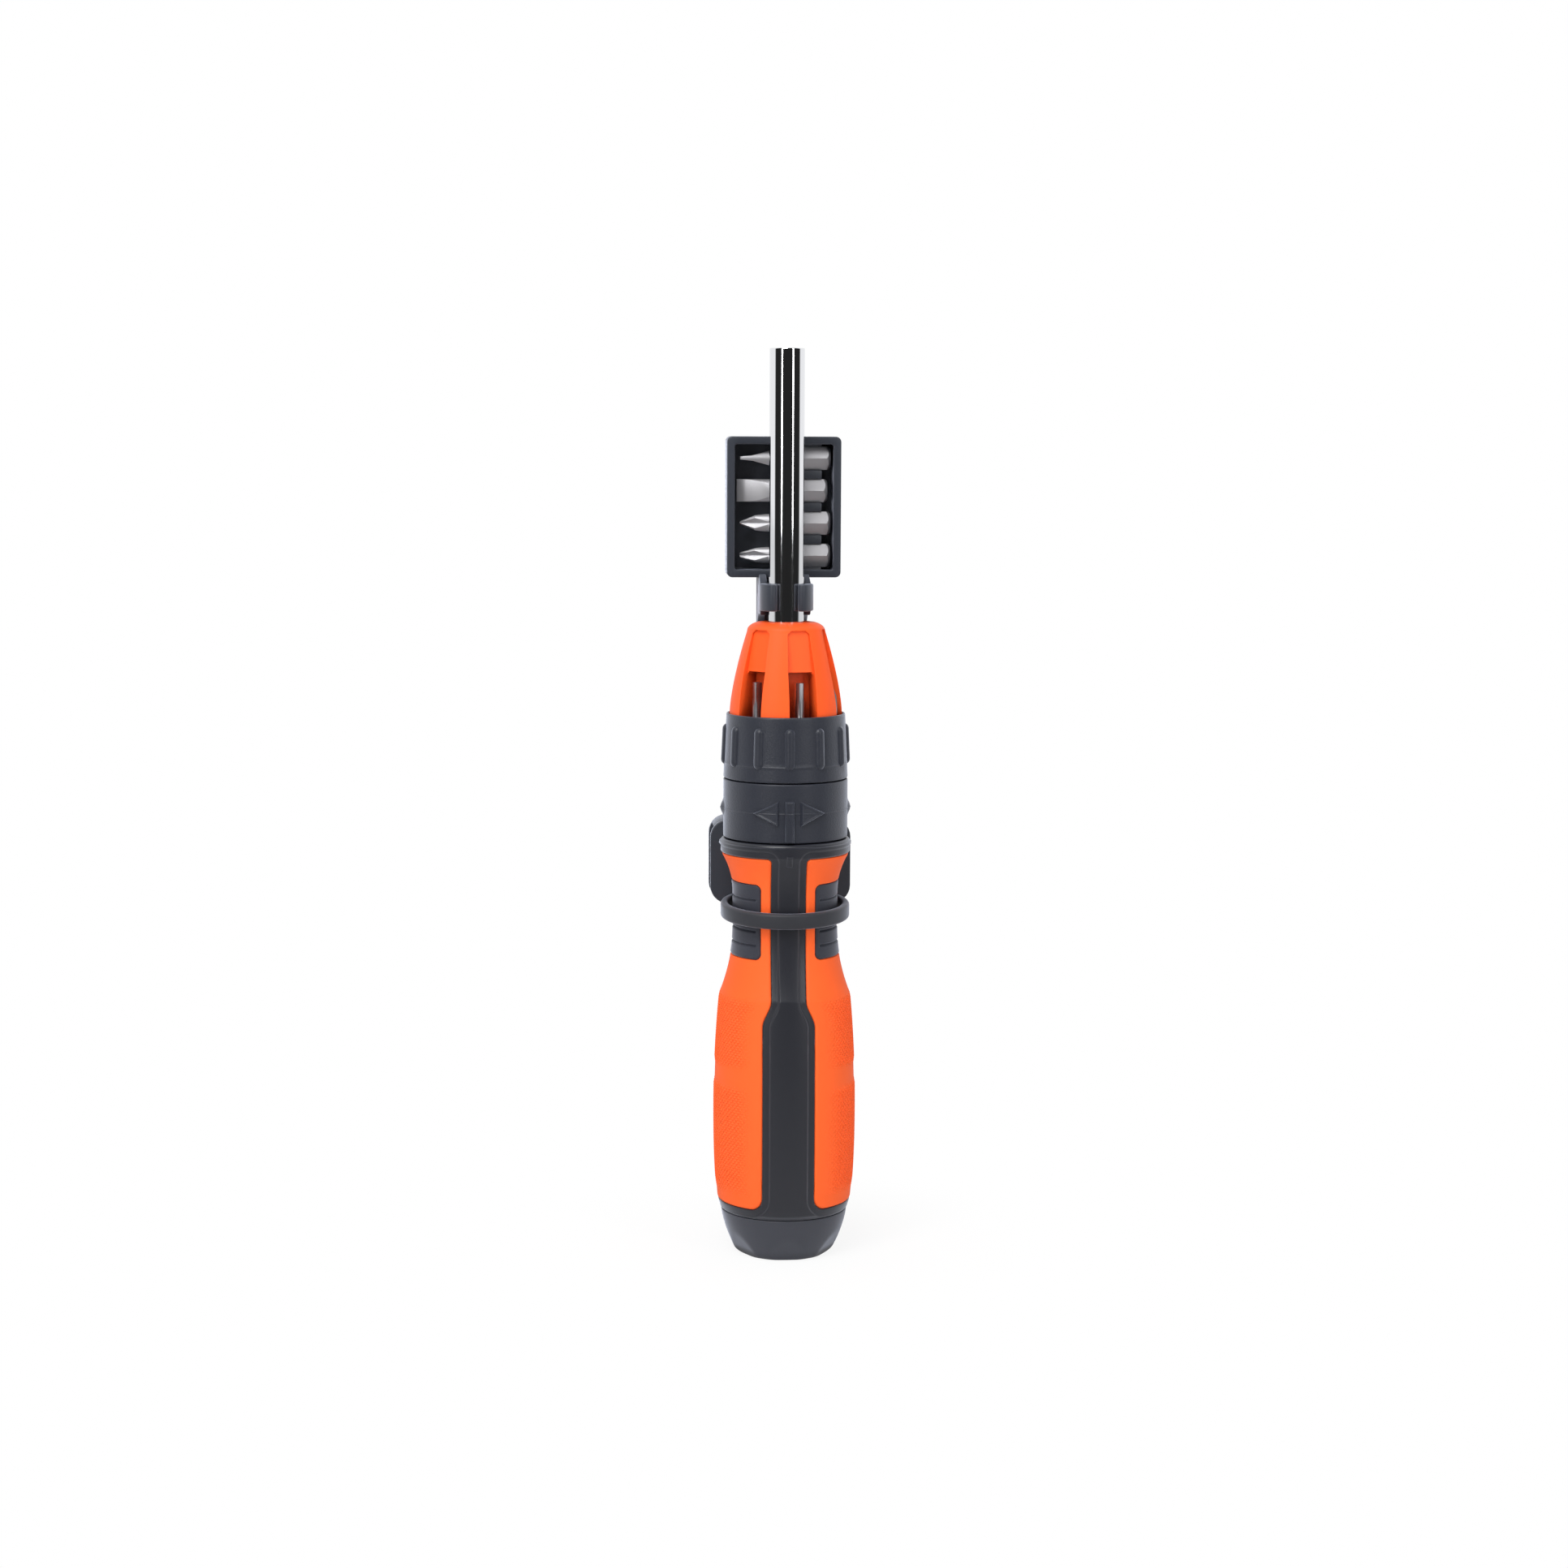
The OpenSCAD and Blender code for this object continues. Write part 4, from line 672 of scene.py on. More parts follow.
def cone_outline(z, floor, half, inner_half):
    """All round the cone at a height."""
    radius = cone_radius(z)
    floor = min(floor, radius + CUT_MISS)
    right = cone_half_sector(radius, floor, half, inner_half)
    sector = right + [(min(floor, radius), 0.0)] + [(p, -q) for p, q in right[:0:-1]]
    around = []
    for turn in np.radians(BIT_TURNS[::-1]):
        for p, q in sector:
            x = p * math.sin(turn) + q * math.cos(turn)
            y = -p * math.cos(turn) + q * math.sin(turn)
            around.append((x, y, z))
    return around[::-1]


cone_points = []
for z in spaced((CONE_LOW_Z, COLLAR_TOP, 1), (COLLAR_TOP, WINDOW_TOP_Z - WINDOW_CORNER, 1.2),
                (WINDOW_TOP_Z - WINDOW_CORNER, WINDOW_TOP_Z - 0.02, 0.13)):
    half_width = WINDOW_HALF + (WINDOW_TOP_HALF - WINDOW_HALF) * along(z, COLLAR_TOP, WINDOW_TOP_Z)
    inner_half = half_width - float(edge_round(WINDOW_TOP_Z - z, WINDOW_CORNER))
    cone_points.append(cone_outline(z, WINDOW_FLOOR, half_width, inner_half))
for rise, share in ((0, 0.35), (0.02, 0.9), (0.2, 1)):
    floor_at = WINDOW_FLOOR + (GROOVE_FLOOR - WINDOW_FLOOR) * share
    closing = inner_half if share < 1 else WINDOW_TOP_HALF
    cone_points.append(cone_outline(WINDOW_TOP_Z + rise, floor_at, WINDOW_TOP_HALF, closing))
groove_end_z = GROOVE_TOP_Z - GROOVE_END_H
for z in spaced((WINDOW_TOP_Z + 1, groove_end_z, 0.9), (groove_end_z, GROOVE_TOP_Z, 0.3)):
    share = along(z, WINDOW_TOP_Z, GROOVE_TOP_Z)
    close = 1 - GROOVE_END_CLOSE * ease(along(z, groove_end_z, GROOVE_TOP_Z))
    half_width = float((WINDOW_TOP_HALF + (GROOVE_TOP_HALF - WINDOW_TOP_HALF) * share) * close)
    floor_at = GROOVE_FLOOR + (GROOVE_TOP_FLOOR - GROOVE_FLOOR) * share
    cone_points.append(cone_outline(z, floor_at, half_width, half_width))
for z in spaced((GROOVE_TOP_Z + 0.1, CONE_TOP, 0.2)):
    half_width = GROOVE_TOP_HALF * (1 - GROOVE_END_CLOSE)
    cone_points.append(cone_outline(z, math.inf, half_width, half_width))

bearing = [math.atan2(p[0], -p[1]) for p in cone_points[-1]]
for r, z in ((CONE_BORE_R + CONE_BORE_EASE, CONE_TOP), (CONE_BORE_R, CONE_TOP - CONE_BORE_EASE),
             (CONE_BORE_R, CONE_LOW_Z)):
    cone_points.append([(r * math.sin(t), -r * math.cos(t), z) for t in bearing])
here = np.arange(len(cone_points) * len(bearing)).reshape(-1, len(bearing))
cone_mesh = mesh_of(np.array(cone_points).reshape(-1, 3), ring_faces(here))
work = bmesh.new()
work.from_mesh(cone_mesh)
bmesh.ops.remove_doubles(work, verts=work.verts, dist=1e-7)
bmesh.ops.triangle_fill(work, edges=[e for e in work.edges if e.is_boundary], use_beauty=True)
bmesh.ops.recalc_face_normals(work, faces=work.faces)
work.to_mesh(cone_mesh)
work.free()
cone = placed(cone_mesh, "bit_cone", orange_abs, 42)
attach(cone, "spindle")
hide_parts("nose_cone")

# Insert bits in the nose: six hardened tool-steel bits, each a hexagon shank with its tip.
# They are forged or milled, and stand upright in the collar's pockets. Their steel is the tray bits' steel
# in a darker grey: painted shade for the shade inside the nose.
BIT_EDGE, BIT_CREASE = 0.12, 30

# Tool steel with painted shade: a half-dull metal with a fine grit in it, a darker grey than the tray bits
# to stand for the shade inside the nose.
steel_with_painted_shade = bare_metal("tool_steel_painted_shade", "9A989C", 0.38, 0.3, 0.012)


def broken_edges(mesh, edge, segments, crease):
    """A mesh with its edges rounded where its faces meet at more than the crease."""
    raw = linked("raw", mesh)
    bevel = raw.modifiers.new("edge", "BEVEL")
    bevel.width = edge * MM
    bevel.segments = segments
    bevel.limit_method = "ANGLE"
    bevel.angle_limit = math.radians(crease)
    return made_plain(raw)


def eased_bit(node, steel):
    """A bit's own solid with its sharp edges broken."""
    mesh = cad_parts[node].data.copy()
    work = bmesh.new()
    work.from_mesh(mesh)
    bmesh.ops.remove_doubles(work, verts=work.verts, dist=2e-6)
    bmesh.ops.dissolve_limit(work, angle_limit=math.radians(1), verts=work.verts, edges=work.edges)
    work.to_mesh(mesh)
    work.free()
    return placed(broken_edges(mesh, BIT_EDGE, 2, BIT_CREASE), node + "_steel", steel, BIT_CREASE + 5)


for node in ("nose_bit_key", "nose_bit_cross", "nose_bit_square", "nose_bit_star", "nose_bit_slot",
             "nose_bit_slot_small"):
    bit = eased_bit(node, steel_with_painted_shade)
    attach(bit, "spindle")
    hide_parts(node)

# Bit holder: a black nylon moulding that clips on the shaft behind the tool.
# It has a tray for four bits, a spring clip, a spine with two webs, and a broad paddle behind the neck.
# The paddle carries the belt clip on two stakes, whose ends are melted over.
TRAY_HALF, TRAY_LOW_Z, TRAY_HIGH_Z, TRAY_FRONT_Y, TRAY_WALL = 15.75, 187.5, 226.2, 9.8, 2.1
TRAY_OUT_R, TRAY_IN_R, CORNER_STEPS = 1.5, 0.8, 8
SPINE_FRONT_Y, SPINE_BACK_Y, SPINE_HALF = 18.6, 20.8, 7.0
PADDLE_HALF, PADDLE_LOW_Z, PADDLE_HIGH_Z, PADDLE_R = 19.8, 95.0, 118.9, 5.0
CLIP_IN_R, CLIP_OUT_R, CLIP_LOW_Z, CLIP_HIGH_Z, CLIP_OPEN, CLIP_STEPS = 4.9, 7.4, 179.0, 186.3, 41, 33
WEB_FRONT_Y, WEB_OVER, WEB_UNDER, WEB_CHAMFER, WEB_T, WEB_INSET = 2.6, 0.2, 0.5, 1.0, 2.0, 0.06
ARCH_Y, ARCH_Z, ARCH_R = 9.1, 168.0, 9.5
NOTCH_HALF, NOTCH_TOP_Z = 2.1, 98.8
STAKE_X, STAKE_Z, STAKE_R, STAKE_FRONT_Y, STAKE_BACK_Y = 8.0, 109.9, 2.6, 23.05, 23.85
HOLDER_EDGE, FLAT_CREASE, OVERLAP, TUCK, PADDLE_BACK = 0.35, 35, 1.0, 0.03, 0.01

# Black nylon: a near-black satin, a little glossier on its edges.
black_nylon = moulded("black_nylon", "2E323B", 0.42, 0.5, 0.02, 0.5, 0.9)


def rounded_outline(x0, z0, x1, z1, radius, count=CORNER_STEPS):
    """A rectangle with round corners, anticlockwise."""
    low_x, low_z, high_x, high_z = x0 + radius, z0 + radius, x1 - radius, z1 - radius
    outline = []
    for x, z, start in ((high_x, high_z, 0), (low_x, high_z, 90), (low_x, low_z, 180), (high_x, low_z, 270)):
        outline += arc(x, z, radius, start, start + 90, count)
    return outline


def stacked(rings):
    """Points and faces of a closed piece: outlines of as many points each, one after another."""
    wide = len(rings[0])
    here = np.arange(len(rings) * wide).reshape(-1, wide)
    points = [point for ring in rings for point in ring]
    return points, [here[0, ::-1].tolist()] + ring_faces(here) + [here[-1].tolist()]


def slab(outline, low, high, axis):
    """A flat piece: an anticlockwise outline as thick as from low to high along an axis, x, y or z."""
    levels = (high, low) if axis == "y" else (low, high)
    return stacked([np.insert(outline, "xyz".index(axis), level, 1).tolist() for level in levels])


def bevelled(name, parts, material, edge, segments=3):
    """Closed pieces joined in one mesh, their edges rounded."""
    points, faces = [], []
    for part_points, part_faces in parts:
        faces += [[i + len(points) for i in face] for face in part_faces]
        points += part_points
    mesh = broken_edges(mesh_of(points, faces), edge, segments, FLAT_CREASE)
    return placed(mesh, name, material, FLAT_CREASE + 5)


tray_out = rounded_outline(-TRAY_HALF, TRAY_LOW_Z, TRAY_HALF, TRAY_HIGH_Z, TRAY_OUT_R)
tray_in = rounded_outline(TRAY_WALL - TRAY_HALF, TRAY_LOW_Z + TRAY_WALL, TRAY_HALF - TRAY_WALL,
                          TRAY_HIGH_Z - TRAY_WALL, TRAY_IN_R)
tray_levels = ((tray_out, SPINE_BACK_Y), (tray_out, TRAY_FRONT_Y), (tray_in, TRAY_FRONT_Y),
               (tray_in, SPINE_BACK_Y - TRAY_WALL))
jaw_start, jaw_stop, jaw_r = CLIP_OPEN - 90, 270 - CLIP_OPEN, (CLIP_OUT_R - CLIP_IN_R) / 2
right_jaw, left_jaw = arc(0, 0, CLIP_IN_R + jaw_r, jaw_start, jaw_stop, 2)
shaft_clip = arc(0, 0, CLIP_OUT_R, jaw_start, jaw_stop, CLIP_STEPS)
shaft_clip += arc(*left_jaw, jaw_r, jaw_stop + 30, jaw_stop + 150)
shaft_clip += arc(0, 0, CLIP_IN_R, jaw_stop, jaw_start, CLIP_STEPS)
shaft_clip += arc(*right_jaw, jaw_r, jaw_start + 210, jaw_start + 330)
paddle = rounded_outline(-PADDLE_HALF, PADDLE_LOW_Z, PADDLE_HALF, PADDLE_HIGH_Z, PADDLE_R)
notch = [(-NOTCH_HALF, PADDLE_LOW_Z), (-NOTCH_HALF, NOTCH_TOP_Z)]
notch += [(-x, z) for x, z in notch[::-1]]
paddle = paddle[:3 * CORNER_STEPS] + notch + paddle[3 * CORNER_STEPS:]
web = [(WEB_FRONT_Y, CLIP_HIGH_Z + WEB_OVER), (WEB_FRONT_Y, CLIP_LOW_Z - WEB_UNDER),
       (WEB_FRONT_Y + WEB_CHAMFER, CLIP_LOW_Z - WEB_UNDER - WEB_CHAMFER)]
web += arc(ARCH_Y, ARCH_Z, ARCH_R, 90, 0, 9)
web += [(SPINE_BACK_Y - OVERLAP, ARCH_Z), (SPINE_BACK_Y - OVERLAP, TRAY_LOW_Z + OVERLAP),
        (TRAY_FRONT_Y + 0.1, TRAY_LOW_Z + OVERLAP)]
spine = [(-SPINE_HALF, PADDLE_HIGH_Z - PADDLE_R), (SPINE_HALF, PADDLE_HIGH_Z - PADDLE_R),
         (SPINE_HALF, TRAY_LOW_Z + OVERLAP), (-SPINE_HALF, TRAY_LOW_Z + OVERLAP)]
holder_parts = [
    stacked([[(x, y, z) for x, z in outline] for outline, y in tray_levels]),
    slab(shaft_clip, CLIP_LOW_Z, CLIP_HIGH_Z, "z"),
    slab(spine, SPINE_FRONT_Y, SPINE_BACK_Y - TUCK, "y"),
    slab(paddle, SPINE_FRONT_Y + PADDLE_BACK, SPINE_BACK_Y + PADDLE_BACK, "y"),
    slab(web, WEB_INSET - SPINE_HALF, WEB_T - SPINE_HALF, "x"),
    slab(web, SPINE_HALF - WEB_T, SPINE_HALF - WEB_INSET, "x")]
for x in (-STAKE_X, STAKE_X):
    holder_parts.append(slab(arc(x, STAKE_Z, STAKE_R, 0, 345, 24), STAKE_FRONT_Y, STAKE_BACK_Y, "y"))
holder = bevelled("tray_and_paddle", holder_parts, black_nylon, HOLDER_EDGE)
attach(holder, "holder")
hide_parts("bit_holder")

# Cradles of the tray: five ribs on its floor, of the same nylon and moulded in one with it.
# The bits snap in between them.
CRADLE_LOW_X, CRADLE_HIGH_X, CRADLE_FRONT_Y, CRADLE_H, CRADLE_COUNT = -3.3, 10.5, 12.23, 2.42, 5
BIT_PITCH, TOP_BIT_Z, CRADLE_EDGE = 8.933, 220.25, 0.3
CRADLE_BACK_Y = SPINE_BACK_Y - OVERLAP

cradles, cradles_in, cradles_keys = geometry_tree("tray_cradles", [
    ("Count", "Int"), ("Size", "Vector"), ("First", "Vector"), ("Step", "Vector")])
block = add(cradles, "GeometryNodeMeshCube", {"Size": cradles_in["Size"]})
line = add(cradles, "GeometryNodeMeshLine", {
    "mode": "OFFSET", "Count": cradles_in["Count"], "Start Location": cradles_in["First"],
    "Offset": cradles_in["Step"]})
blocks = add(cradles, "GeometryNodeInstanceOnPoints", {"Points": line, "Instance": block})
end_tree(cradles, cradles_in, blocks)

cradle_size = Vector((CRADLE_HIGH_X - CRADLE_LOW_X, CRADLE_BACK_Y - CRADLE_FRONT_Y, CRADLE_H))
cradle_first = Vector(((CRADLE_LOW_X + CRADLE_HIGH_X) / 2, (CRADLE_BACK_Y + CRADLE_FRONT_Y) / 2,
                       TOP_BIT_Z + BIT_PITCH / 2))
cradle_mesh = grown(bpy.data.meshes.new("cradle_seed"), cradles, cradles_keys, {
    "Count": CRADLE_COUNT, "Size": cradle_size * MM, "First": cradle_first * MM,
    "Step": Vector((0, 0, -BIT_PITCH)) * MM, "Material": black_nylon})
cradle_mesh = broken_edges(cradle_mesh, CRADLE_EDGE, 2, FLAT_CREASE)
cradle_ribs = placed(cradle_mesh, "tray_cradle_ribs", black_nylon, FLAT_CREASE + 5)
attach(cradle_ribs, "holder")

# Belt clip: a second nylon moulding, a springy tongue bent over from a leg.
# The leg lies against the back of the paddle, which is staked through it.
LEG_FRONT_Y, LEG_BACK_Y, TONGUE_FRONT_Y, TONGUE_BACK_Y = 20.83, 23.03, 29.13, 31.33
BEND_LOW_Z, LEG_LOW_Z, LEG_HALF, LEG_R = 116.7, 103.0, 14.7, 0.8
TONGUE_DROP, BEND_OVERLAP, BELT_CLIP_EDGE = 0.5, 0.9, 0.6
BEND_TOP = BEND_LOW_Z + BEND_OVERLAP

tongue = rounded_outline(-PADDLE_HALF, PADDLE_LOW_Z - TONGUE_DROP, PADDLE_HALF, PADDLE_HIGH_Z, PADDLE_R)
bend_half = PADDLE_HALF - PADDLE_R + math.sqrt(PADDLE_R ** 2 - (BEND_LOW_Z - PADDLE_HIGH_Z + PADDLE_R) ** 2)
bend = [(-bend_half, BEND_LOW_Z), (bend_half, BEND_LOW_Z)] + [(x, z) for x, z in tongue if z > BEND_LOW_Z]
tongue = [(x, min(z, BEND_TOP)) for x, z in tongue]
leg = rounded_outline(-LEG_HALF, LEG_LOW_Z, LEG_HALF, BEND_TOP, LEG_R)
clip_parts = [
    slab(leg, LEG_FRONT_Y + TUCK, LEG_BACK_Y, "y"),
    slab(tongue, TONGUE_FRONT_Y, TONGUE_BACK_Y - TUCK, "y"),
    slab(bend, LEG_FRONT_Y, TONGUE_BACK_Y, "y")]
belt_clip = bevelled("belt_spring_clip", clip_parts, black_nylon, BELT_CLIP_EDGE)
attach(belt_clip, "holder")
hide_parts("belt_clip")

# Neck loop: a moulded rubber ring that goes round the handle's neck and leans a little.
# A button on its back snaps into the paddle's notch.
LOOP_IN_R, LOOP_OUT_R, LOOP_LOW_Z, LOOP_HIGH_Z, LOOP_EDGE, LOOP_TILT = 15.6, 17.8, 94.4, 98.7, 0.85, 0.06
BUTTON_HALF, BUTTON_R, BUTTON_ROOT, BUTTON_END = 2, 0.5, 0.6, 0.8
BUTTON_HEAD_HALF, BUTTON_HEAD_R, BUTTON_HEAD_T = 4, 0.8, 1.6
BUTTON_IN, BUTTON_EDGE = 0.3, 0.25

# Moulded rubber: matt and even.
moulded_rubber = moulded("moulded_rubber", "292A30", 0.55, 0.4, 0.02, 0.45, 0.9)

loop_turns = np.arange(0, 360, 2.5)
loop_rows = rounded_outline(LOOP_IN_R, LOOP_LOW_Z, LOOP_OUT_R, LOOP_HIGH_Z, LOOP_EDGE, 5)
loop_rows = [(r, z - LOOP_TILT * r * np.cos(np.radians(loop_turns))) for r, z in loop_rows]
loop = placed(turned_mesh(loop_rows, loop_turns, "ring"), "rubber_neck_loop", moulded_rubber)
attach(loop, "holder")
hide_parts("neck_loop")

button_low_z, button_high_z = LOOP_LOW_Z + BUTTON_IN, LOOP_HIGH_Z - BUTTON_IN
stem = rounded_outline(-BUTTON_HALF, button_low_z, BUTTON_HALF, button_high_z, BUTTON_R, 3)
head = rounded_outline(-BUTTON_HEAD_HALF, button_low_z, BUTTON_HEAD_HALF, button_high_z, BUTTON_HEAD_R, 4)
button_parts = [
    slab(stem, LOOP_OUT_R - BUTTON_ROOT, SPINE_BACK_Y + BUTTON_END, "y"),
    slab(head, SPINE_BACK_Y + TUCK, SPINE_BACK_Y + BUTTON_HEAD_T, "y")]
button = bevelled("rubber_loop_button", button_parts, moulded_rubber, BUTTON_EDGE, 2)
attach(button, "holder")

# Insert bits in the tray: two flat blades and two cross points of hardened tool steel.
# They are forged or milled and then blasted, and lie on their sides, snapped in between the cradles.
# Blasted tool steel: a dull pale grey metal with a fine grit in it.
blasted_steel = bare_metal("blasted_tool_steel", "D6D5D8", 0.6, 0.3, 0.012)

for node in ("tray_bit_slot_edge", "tray_bit_slot_flat", "tray_bit_cross_upper", "tray_bit_cross_lower"):
    bit = eased_bit(node, blasted_steel)
    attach(bit, "holder")
    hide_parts(node)

# Gasket: a flat ring of nitrile rubber, cut from sheet.
# It lies in the seam between the handle and the cap, which squeezes it tight.
# Nitrile rubber: dark and matt.
nitrile_rubber = moulded("nitrile_rubber", "18181A", 0.7, 0.3, 0.01, 0.35)
coat(["cap_gasket"], nitrile_rubber)

# End cap: a black ABS cup that screws into the handle and closes its hollow.
# Six flats round its foot keep it from rolling and give the fingers a hold.
# Its thread is moulded on, with a pitch of four millimetres.
CAP_TOP_Z, CAP_HUB_R, CAP_FOOT_EDGE, CAP_DOME_DROP, CAP_DOME_CURVE = 12.35, 8.2, 1.3, 4.2, 1.5
CAP_RIM_Z, CAP_RIM_IN = 12.2, 0.12
CAP_FLATS, FLAT_RUN, FLAT_LEAN, FLAT_BLEND = 6, 12.1, math.tan(math.radians(31)), 0.3
SPIGOT_R, SPIGOT_ROOT_R, SPIGOT_T, SPIGOT_EASE, SPIGOT_LAND_R = 13.45, 12.9, 1.95, 0.3, 13.5
SPIGOT_TOP_Z, SPIGOT_FLOOR_Z = 21.0, 3.0
THREAD_LAND_Z, THREAD_LOW_Z, THREAD_HIGH_Z, THREAD_END_Z, THREAD_PITCH = 14.9, 15.2, 19.9, 20.2, 4.0
CREST_WIDTH, CREST_SLOPE = 2.2, 5.5

# Black ABS: even and satin, a shade greyer than the core where the light falls on it.
black_abs = moulded("black_abs", "363841", 0.5, 0.4, 0.02, 0.5, 0.9)

cap_turns = np.arange(0, 360, 1.0)


def cap_radius(z):
    """Radius of the cap all round, at a height: a dome cut by leaning flats, with softened edges."""
    dome = SEAM_R - CAP_DOME_DROP * (1 - z / SEAM_Z) ** CAP_DOME_CURVE - edge_round(z, CAP_FOOT_EDGE)
    away = np.radians((cap_turns + 180 / CAP_FLATS) % (360 / CAP_FLATS) - 180 / CAP_FLATS)
    flat = (FLAT_RUN + FLAT_LEAN * z) / np.cos(away)
    near = np.clip(0.5 + (flat - dome) / (2 * FLAT_BLEND), 0, 1)
    return flat + (dome - flat) * near - FLAT_BLEND * near * (1 - near)


def thread_radius(z):
    """Radius of the threaded spigot all round, at a height."""
    phase = (z / THREAD_PITCH - cap_turns / 360) % 1
    crest = np.clip(CREST_WIDTH - CREST_SLOPE * np.abs(phase - 0.5), 0, 1)
    return SPIGOT_ROOT_R + (SPIGOT_R - SPIGOT_ROOT_R) * crest


cap_heights = spaced((0, 0.3, 0.06), (0.3, 1.5, 0.15), (1.5, 12.1, 0.38))
cap_rows = [
    (CAP_HUB_R, 0.0),
    *[(cap_radius(z), z) for z in cap_heights],
    (cap_radius(CAP_RIM_Z) - CAP_RIM_IN, CAP_TOP_Z), (SPIGOT_LAND_R, CAP_TOP_Z),
    (SPIGOT_LAND_R, THREAD_LAND_Z),
    *[(thread_radius(z), z) for z in spaced((THREAD_LOW_Z, THREAD_HIGH_Z, 0.15))],
    (SPIGOT_LAND_R, THREAD_END_Z), (SPIGOT_LAND_R, SPIGOT_TOP_Z - SPIGOT_EASE),
    (SPIGOT_LAND_R - SPIGOT_EASE, SPIGOT_TOP_Z), (SPIGOT_R - SPIGOT_T, SPIGOT_TOP_Z),
    (SPIGOT_R - SPIGOT_T, SPIGOT_FLOOR_Z)]
cap = placed(turned_mesh(cap_rows, cap_turns, "axis"), "screw_cap", black_abs)
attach(cap, "cap")
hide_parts("end_cap")

# Studio: a white floor that keeps a soft shadow, a white surround, and three soft boxes in front.
# The side towards the camera is dim, as a room is, so that the chrome shows bands.
FLOOR_HALF, FLOOR_WHITE, SHADOW_NEAR, SHADOW_REACH = 6.0, 0.88, 0.0225, 0.09
DIM_FRONT, FLOOR_GLOW, FLOOR_FRONT_Y, FLOOR_BACK_Y = 0.02, 0.8, -0.7, 0.3
BAND_FRONT, BAND_BACK = -0.12, 0.04
FILL_FRONT, FILL_BACK, FILL_WEAK, FILL_STRONG = -0.6, 0.3, 0.4, 0.6
LAMP_AIM = Vector((0, 0, 0.13))
SOFT = {"interpolation_type": "SMOOTHSTEP"}
WHITE = {"Color": linear("FFFFFF")}

# White paper: burnt out to plain white for the eye, apart from the shadow close to the tool.
floor_paper = bpy.data.materials.new("white_paper_floor")
paper = emptied(floor_paper)
path = add(paper, "ShaderNodeLightPath").outputs
place = add(paper, "ShaderNodeTexCoord").outputs["Object"]
from_tool = add(paper, "ShaderNodeVectorMath", {"operation": "LENGTH", 0: place})
burnt_out = add(paper, "ShaderNodeMapRange", SOFT | {
    "From Min": SHADOW_NEAR, "From Max": SHADOW_REACH, "To Min": FLOOR_WHITE,
    "Value": from_tool.outputs["Value"]})
dull = add(paper, "ShaderNodeBsdfDiffuse", {"Color": linear("F4F4F4")})
glow = add(paper, "ShaderNodeEmission", WHITE)
# Painted reflection: in mirrors the floor glows instead of showing its lit shade, dim towards the front and
# bright towards the back.
ahead = add(paper, "ShaderNodeSeparateXYZ", {"Vector": place})
far_gloom = add(paper, "ShaderNodeMapRange", SOFT | {
    "From Min": FLOOR_FRONT_Y, "From Max": FLOOR_BACK_Y, "To Min": DIM_FRONT, "To Max": FLOOR_GLOW,
    "Value": ahead.outputs["Y"]})
painted_floor_reflection = add(paper, "ShaderNodeEmission", WHITE | {"Strength": far_gloom})
bounced = add(paper, "ShaderNodeMixShader", {0: path["Is Glossy Ray"], 1: dull, 2: painted_floor_reflection})
seen = add(paper, "ShaderNodeMath", {"operation": "MULTIPLY", 0: path["Is Camera Ray"], 1: burnt_out})
mixed = add(paper, "ShaderNodeMixShader", {0: seen, 1: bounced, 2: glow})
add(paper, "ShaderNodeOutputMaterial", {"Surface": mixed})

floor_mesh = bpy.data.meshes.new("floor")
floor_corners = [(-FLOOR_HALF, -FLOOR_HALF), (FLOOR_HALF, -FLOOR_HALF), (FLOOR_HALF, FLOOR_HALF),
                 (-FLOOR_HALF, FLOOR_HALF)]
floor_mesh.from_pydata([(x, y, 0) for x, y in floor_corners], [], [(0, 1, 2, 3)])
floor_mesh.materials.append(floor_paper)
floor = linked("floor", floor_mesh)

world = bpy.data.worlds.new("white_tent")
bpy.context.scene.world = world
sky = emptied(world)
path = add(sky, "ShaderNodeLightPath").outputs
direction = add(sky, "ShaderNodeTexCoord")
split = add(sky, "ShaderNodeSeparateXYZ", {"Vector": direction.outputs["Generated"]})
bands = add(sky, "ShaderNodeMapRange", SOFT | {
    "From Min": BAND_FRONT, "From Max": BAND_BACK, "To Min": DIM_FRONT, "Value": split.outputs["Y"]})
in_mirror = add(sky, "ShaderNodeBackground", WHITE | {"Strength": bands})
to_eye = add(sky, "ShaderNodeBackground", WHITE)
soft_front = add(sky, "ShaderNodeMapRange", {
    "From Min": FILL_FRONT, "From Max": FILL_BACK, "To Min": FILL_WEAK, "To Max": FILL_STRONG,
    "Value": split.outputs["Y"]})
fill = add(sky, "ShaderNodeBackground", WHITE | {"Strength": soft_front})
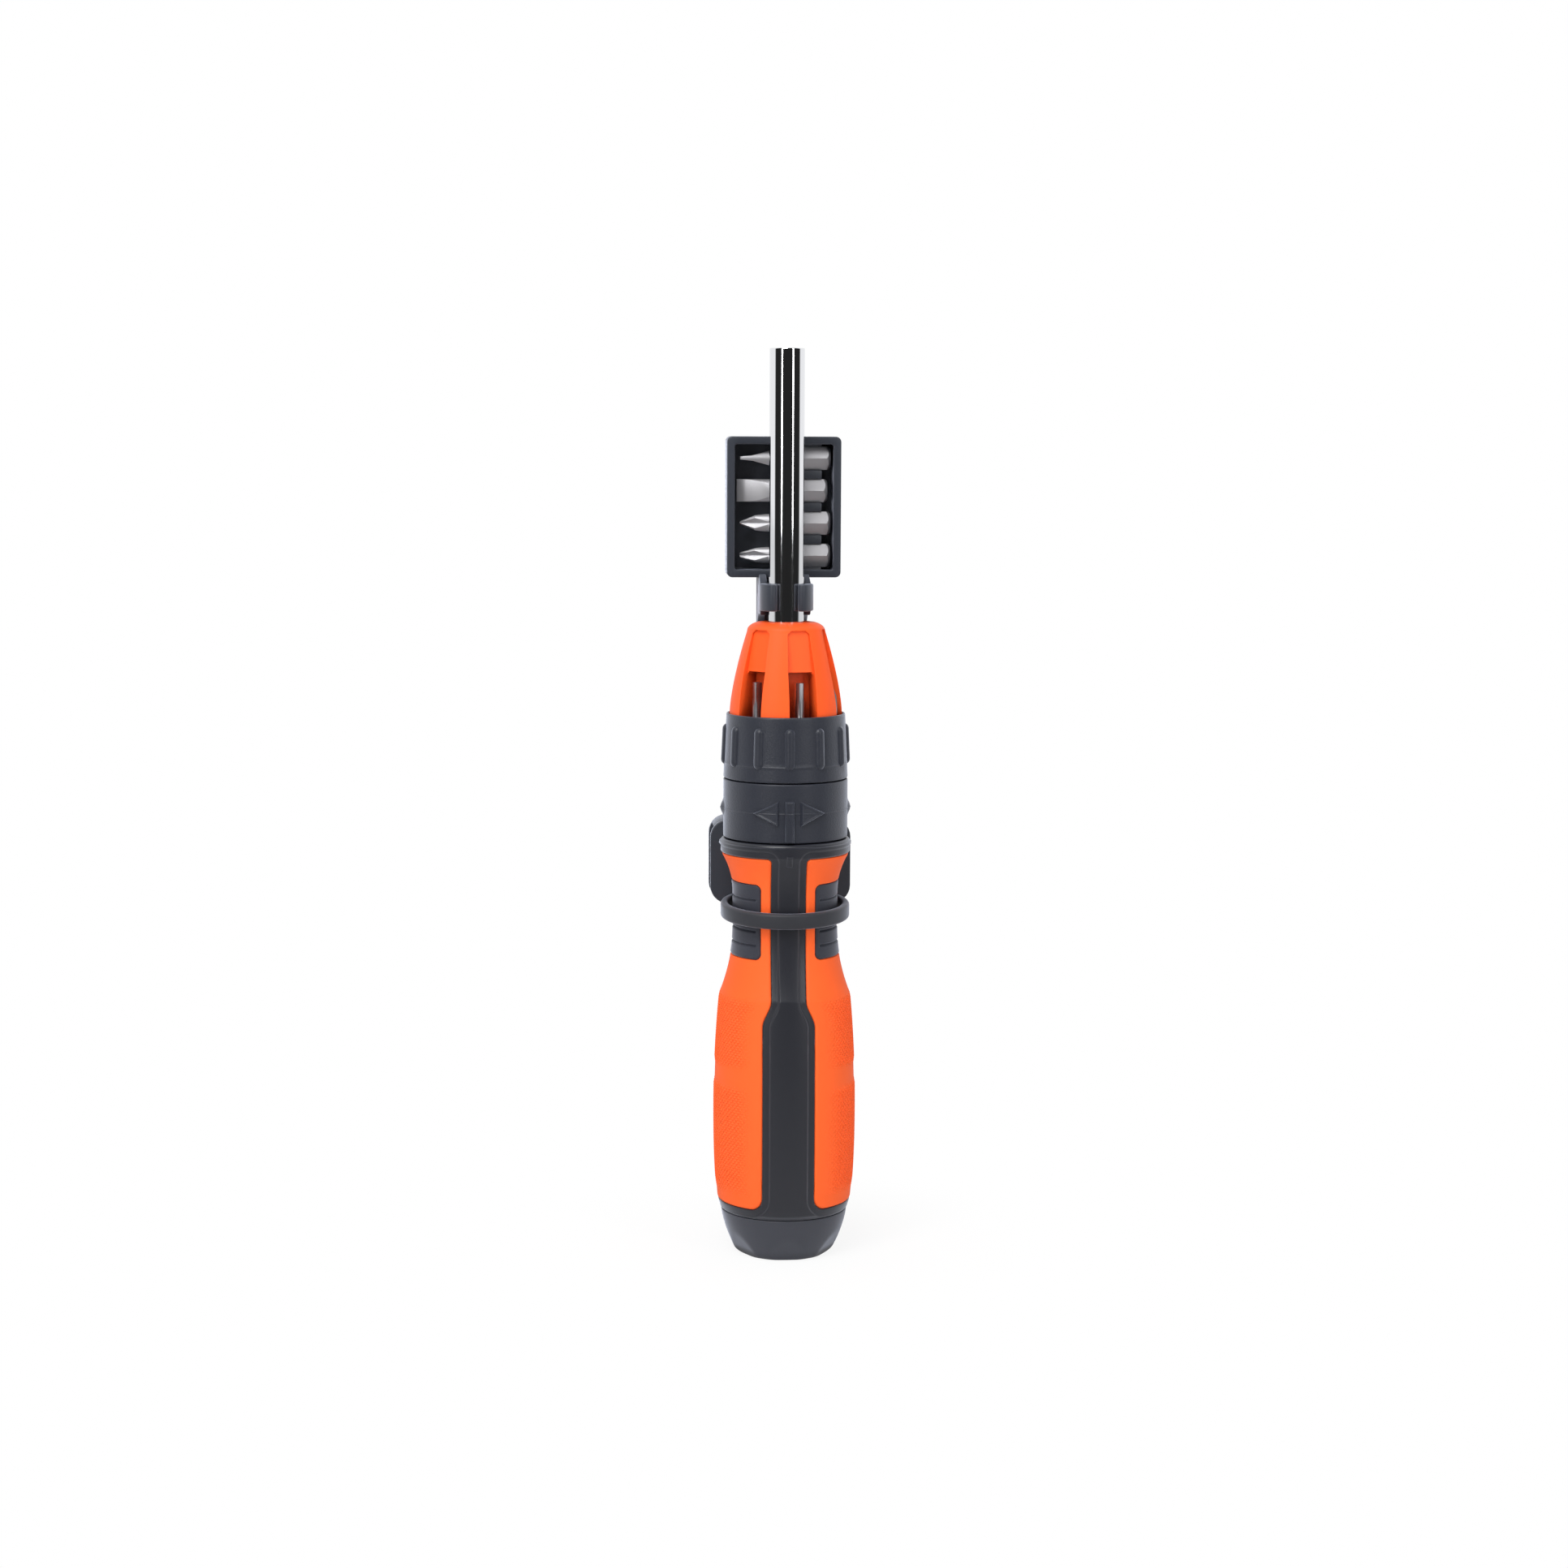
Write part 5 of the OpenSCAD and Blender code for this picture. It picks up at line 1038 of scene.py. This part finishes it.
shiny = add(sky, "ShaderNodeMath", {
    "operation": "MAXIMUM", 0: path["Is Glossy Ray"], 1: path["Is Transmission Ray"]})
reflected = add(sky, "ShaderNodeMixShader", {0: shiny, 1: fill, 2: in_mirror})
shown = add(sky, "ShaderNodeMixShader", {0: path["Is Camera Ray"], 1: reflected, 2: to_eye})
add(sky, "ShaderNodeOutputWorld", {"Surface": shown})


def soft_box(name, turn, reach, height, width, tall, power):
    """A soft box standing at a turn from the front, looking at the middle of the tool."""
    lamp = bpy.data.lights.new(name, "AREA")
    lamp.shape = "RECTANGLE"
    lamp.size = width
    lamp.size_y = tall
    lamp.energy = power
    box = linked(name, lamp)
    angle = math.radians(turn)
    box.location = (reach * math.sin(angle), -reach * math.cos(angle), height)
    box.rotation_euler = (LAMP_AIM - box.location).to_track_quat("-Z", "Y").to_euler()


soft_box("soft_box_left", -37, 1.3, 0.62, 0.18, 1.0, 4.2)
soft_box("soft_box_right", 36, 1.3, 0.62, 0.16, 1.0, 4)
soft_box("soft_box_top", -25, 0.8, 1.2, 0.7, 0.7, 12)

# Camera: in front of the tool, a little above its middle and slightly to its left.
# Its place, lens and slight roll were fitted to the photograph.
CAMERA_FOCUS, CAMERA_SENSOR, CAMERA_NEAR = 68.57, 36.0, 0.05
CAMERA_TURN, CAMERA_REACH, CAMERA_Z, CAMERA_ROLL = -4.0, 816.5, 229.3, 0.25
CAMERA_AIM = (-0.4, 0.0, 131.2)

lens = bpy.data.cameras.new("camera")
lens.lens = CAMERA_FOCUS
lens.sensor_width = CAMERA_SENSOR
lens.clip_start = CAMERA_NEAR
camera = linked("camera", lens)
turn = math.radians(CAMERA_TURN)
camera.location = Vector((CAMERA_REACH * math.sin(turn), -CAMERA_REACH * math.cos(turn), CAMERA_Z)) * MM
look = (Vector(CAMERA_AIM) * MM - camera.location).to_track_quat("-Z", "Y").to_matrix()
camera.rotation_euler = (look @ Matrix.Rotation(math.radians(CAMERA_ROLL), 3, "Z")).to_euler()
bpy.context.scene.camera = camera
bpy.context.scene.view_settings.view_transform = "Standard"
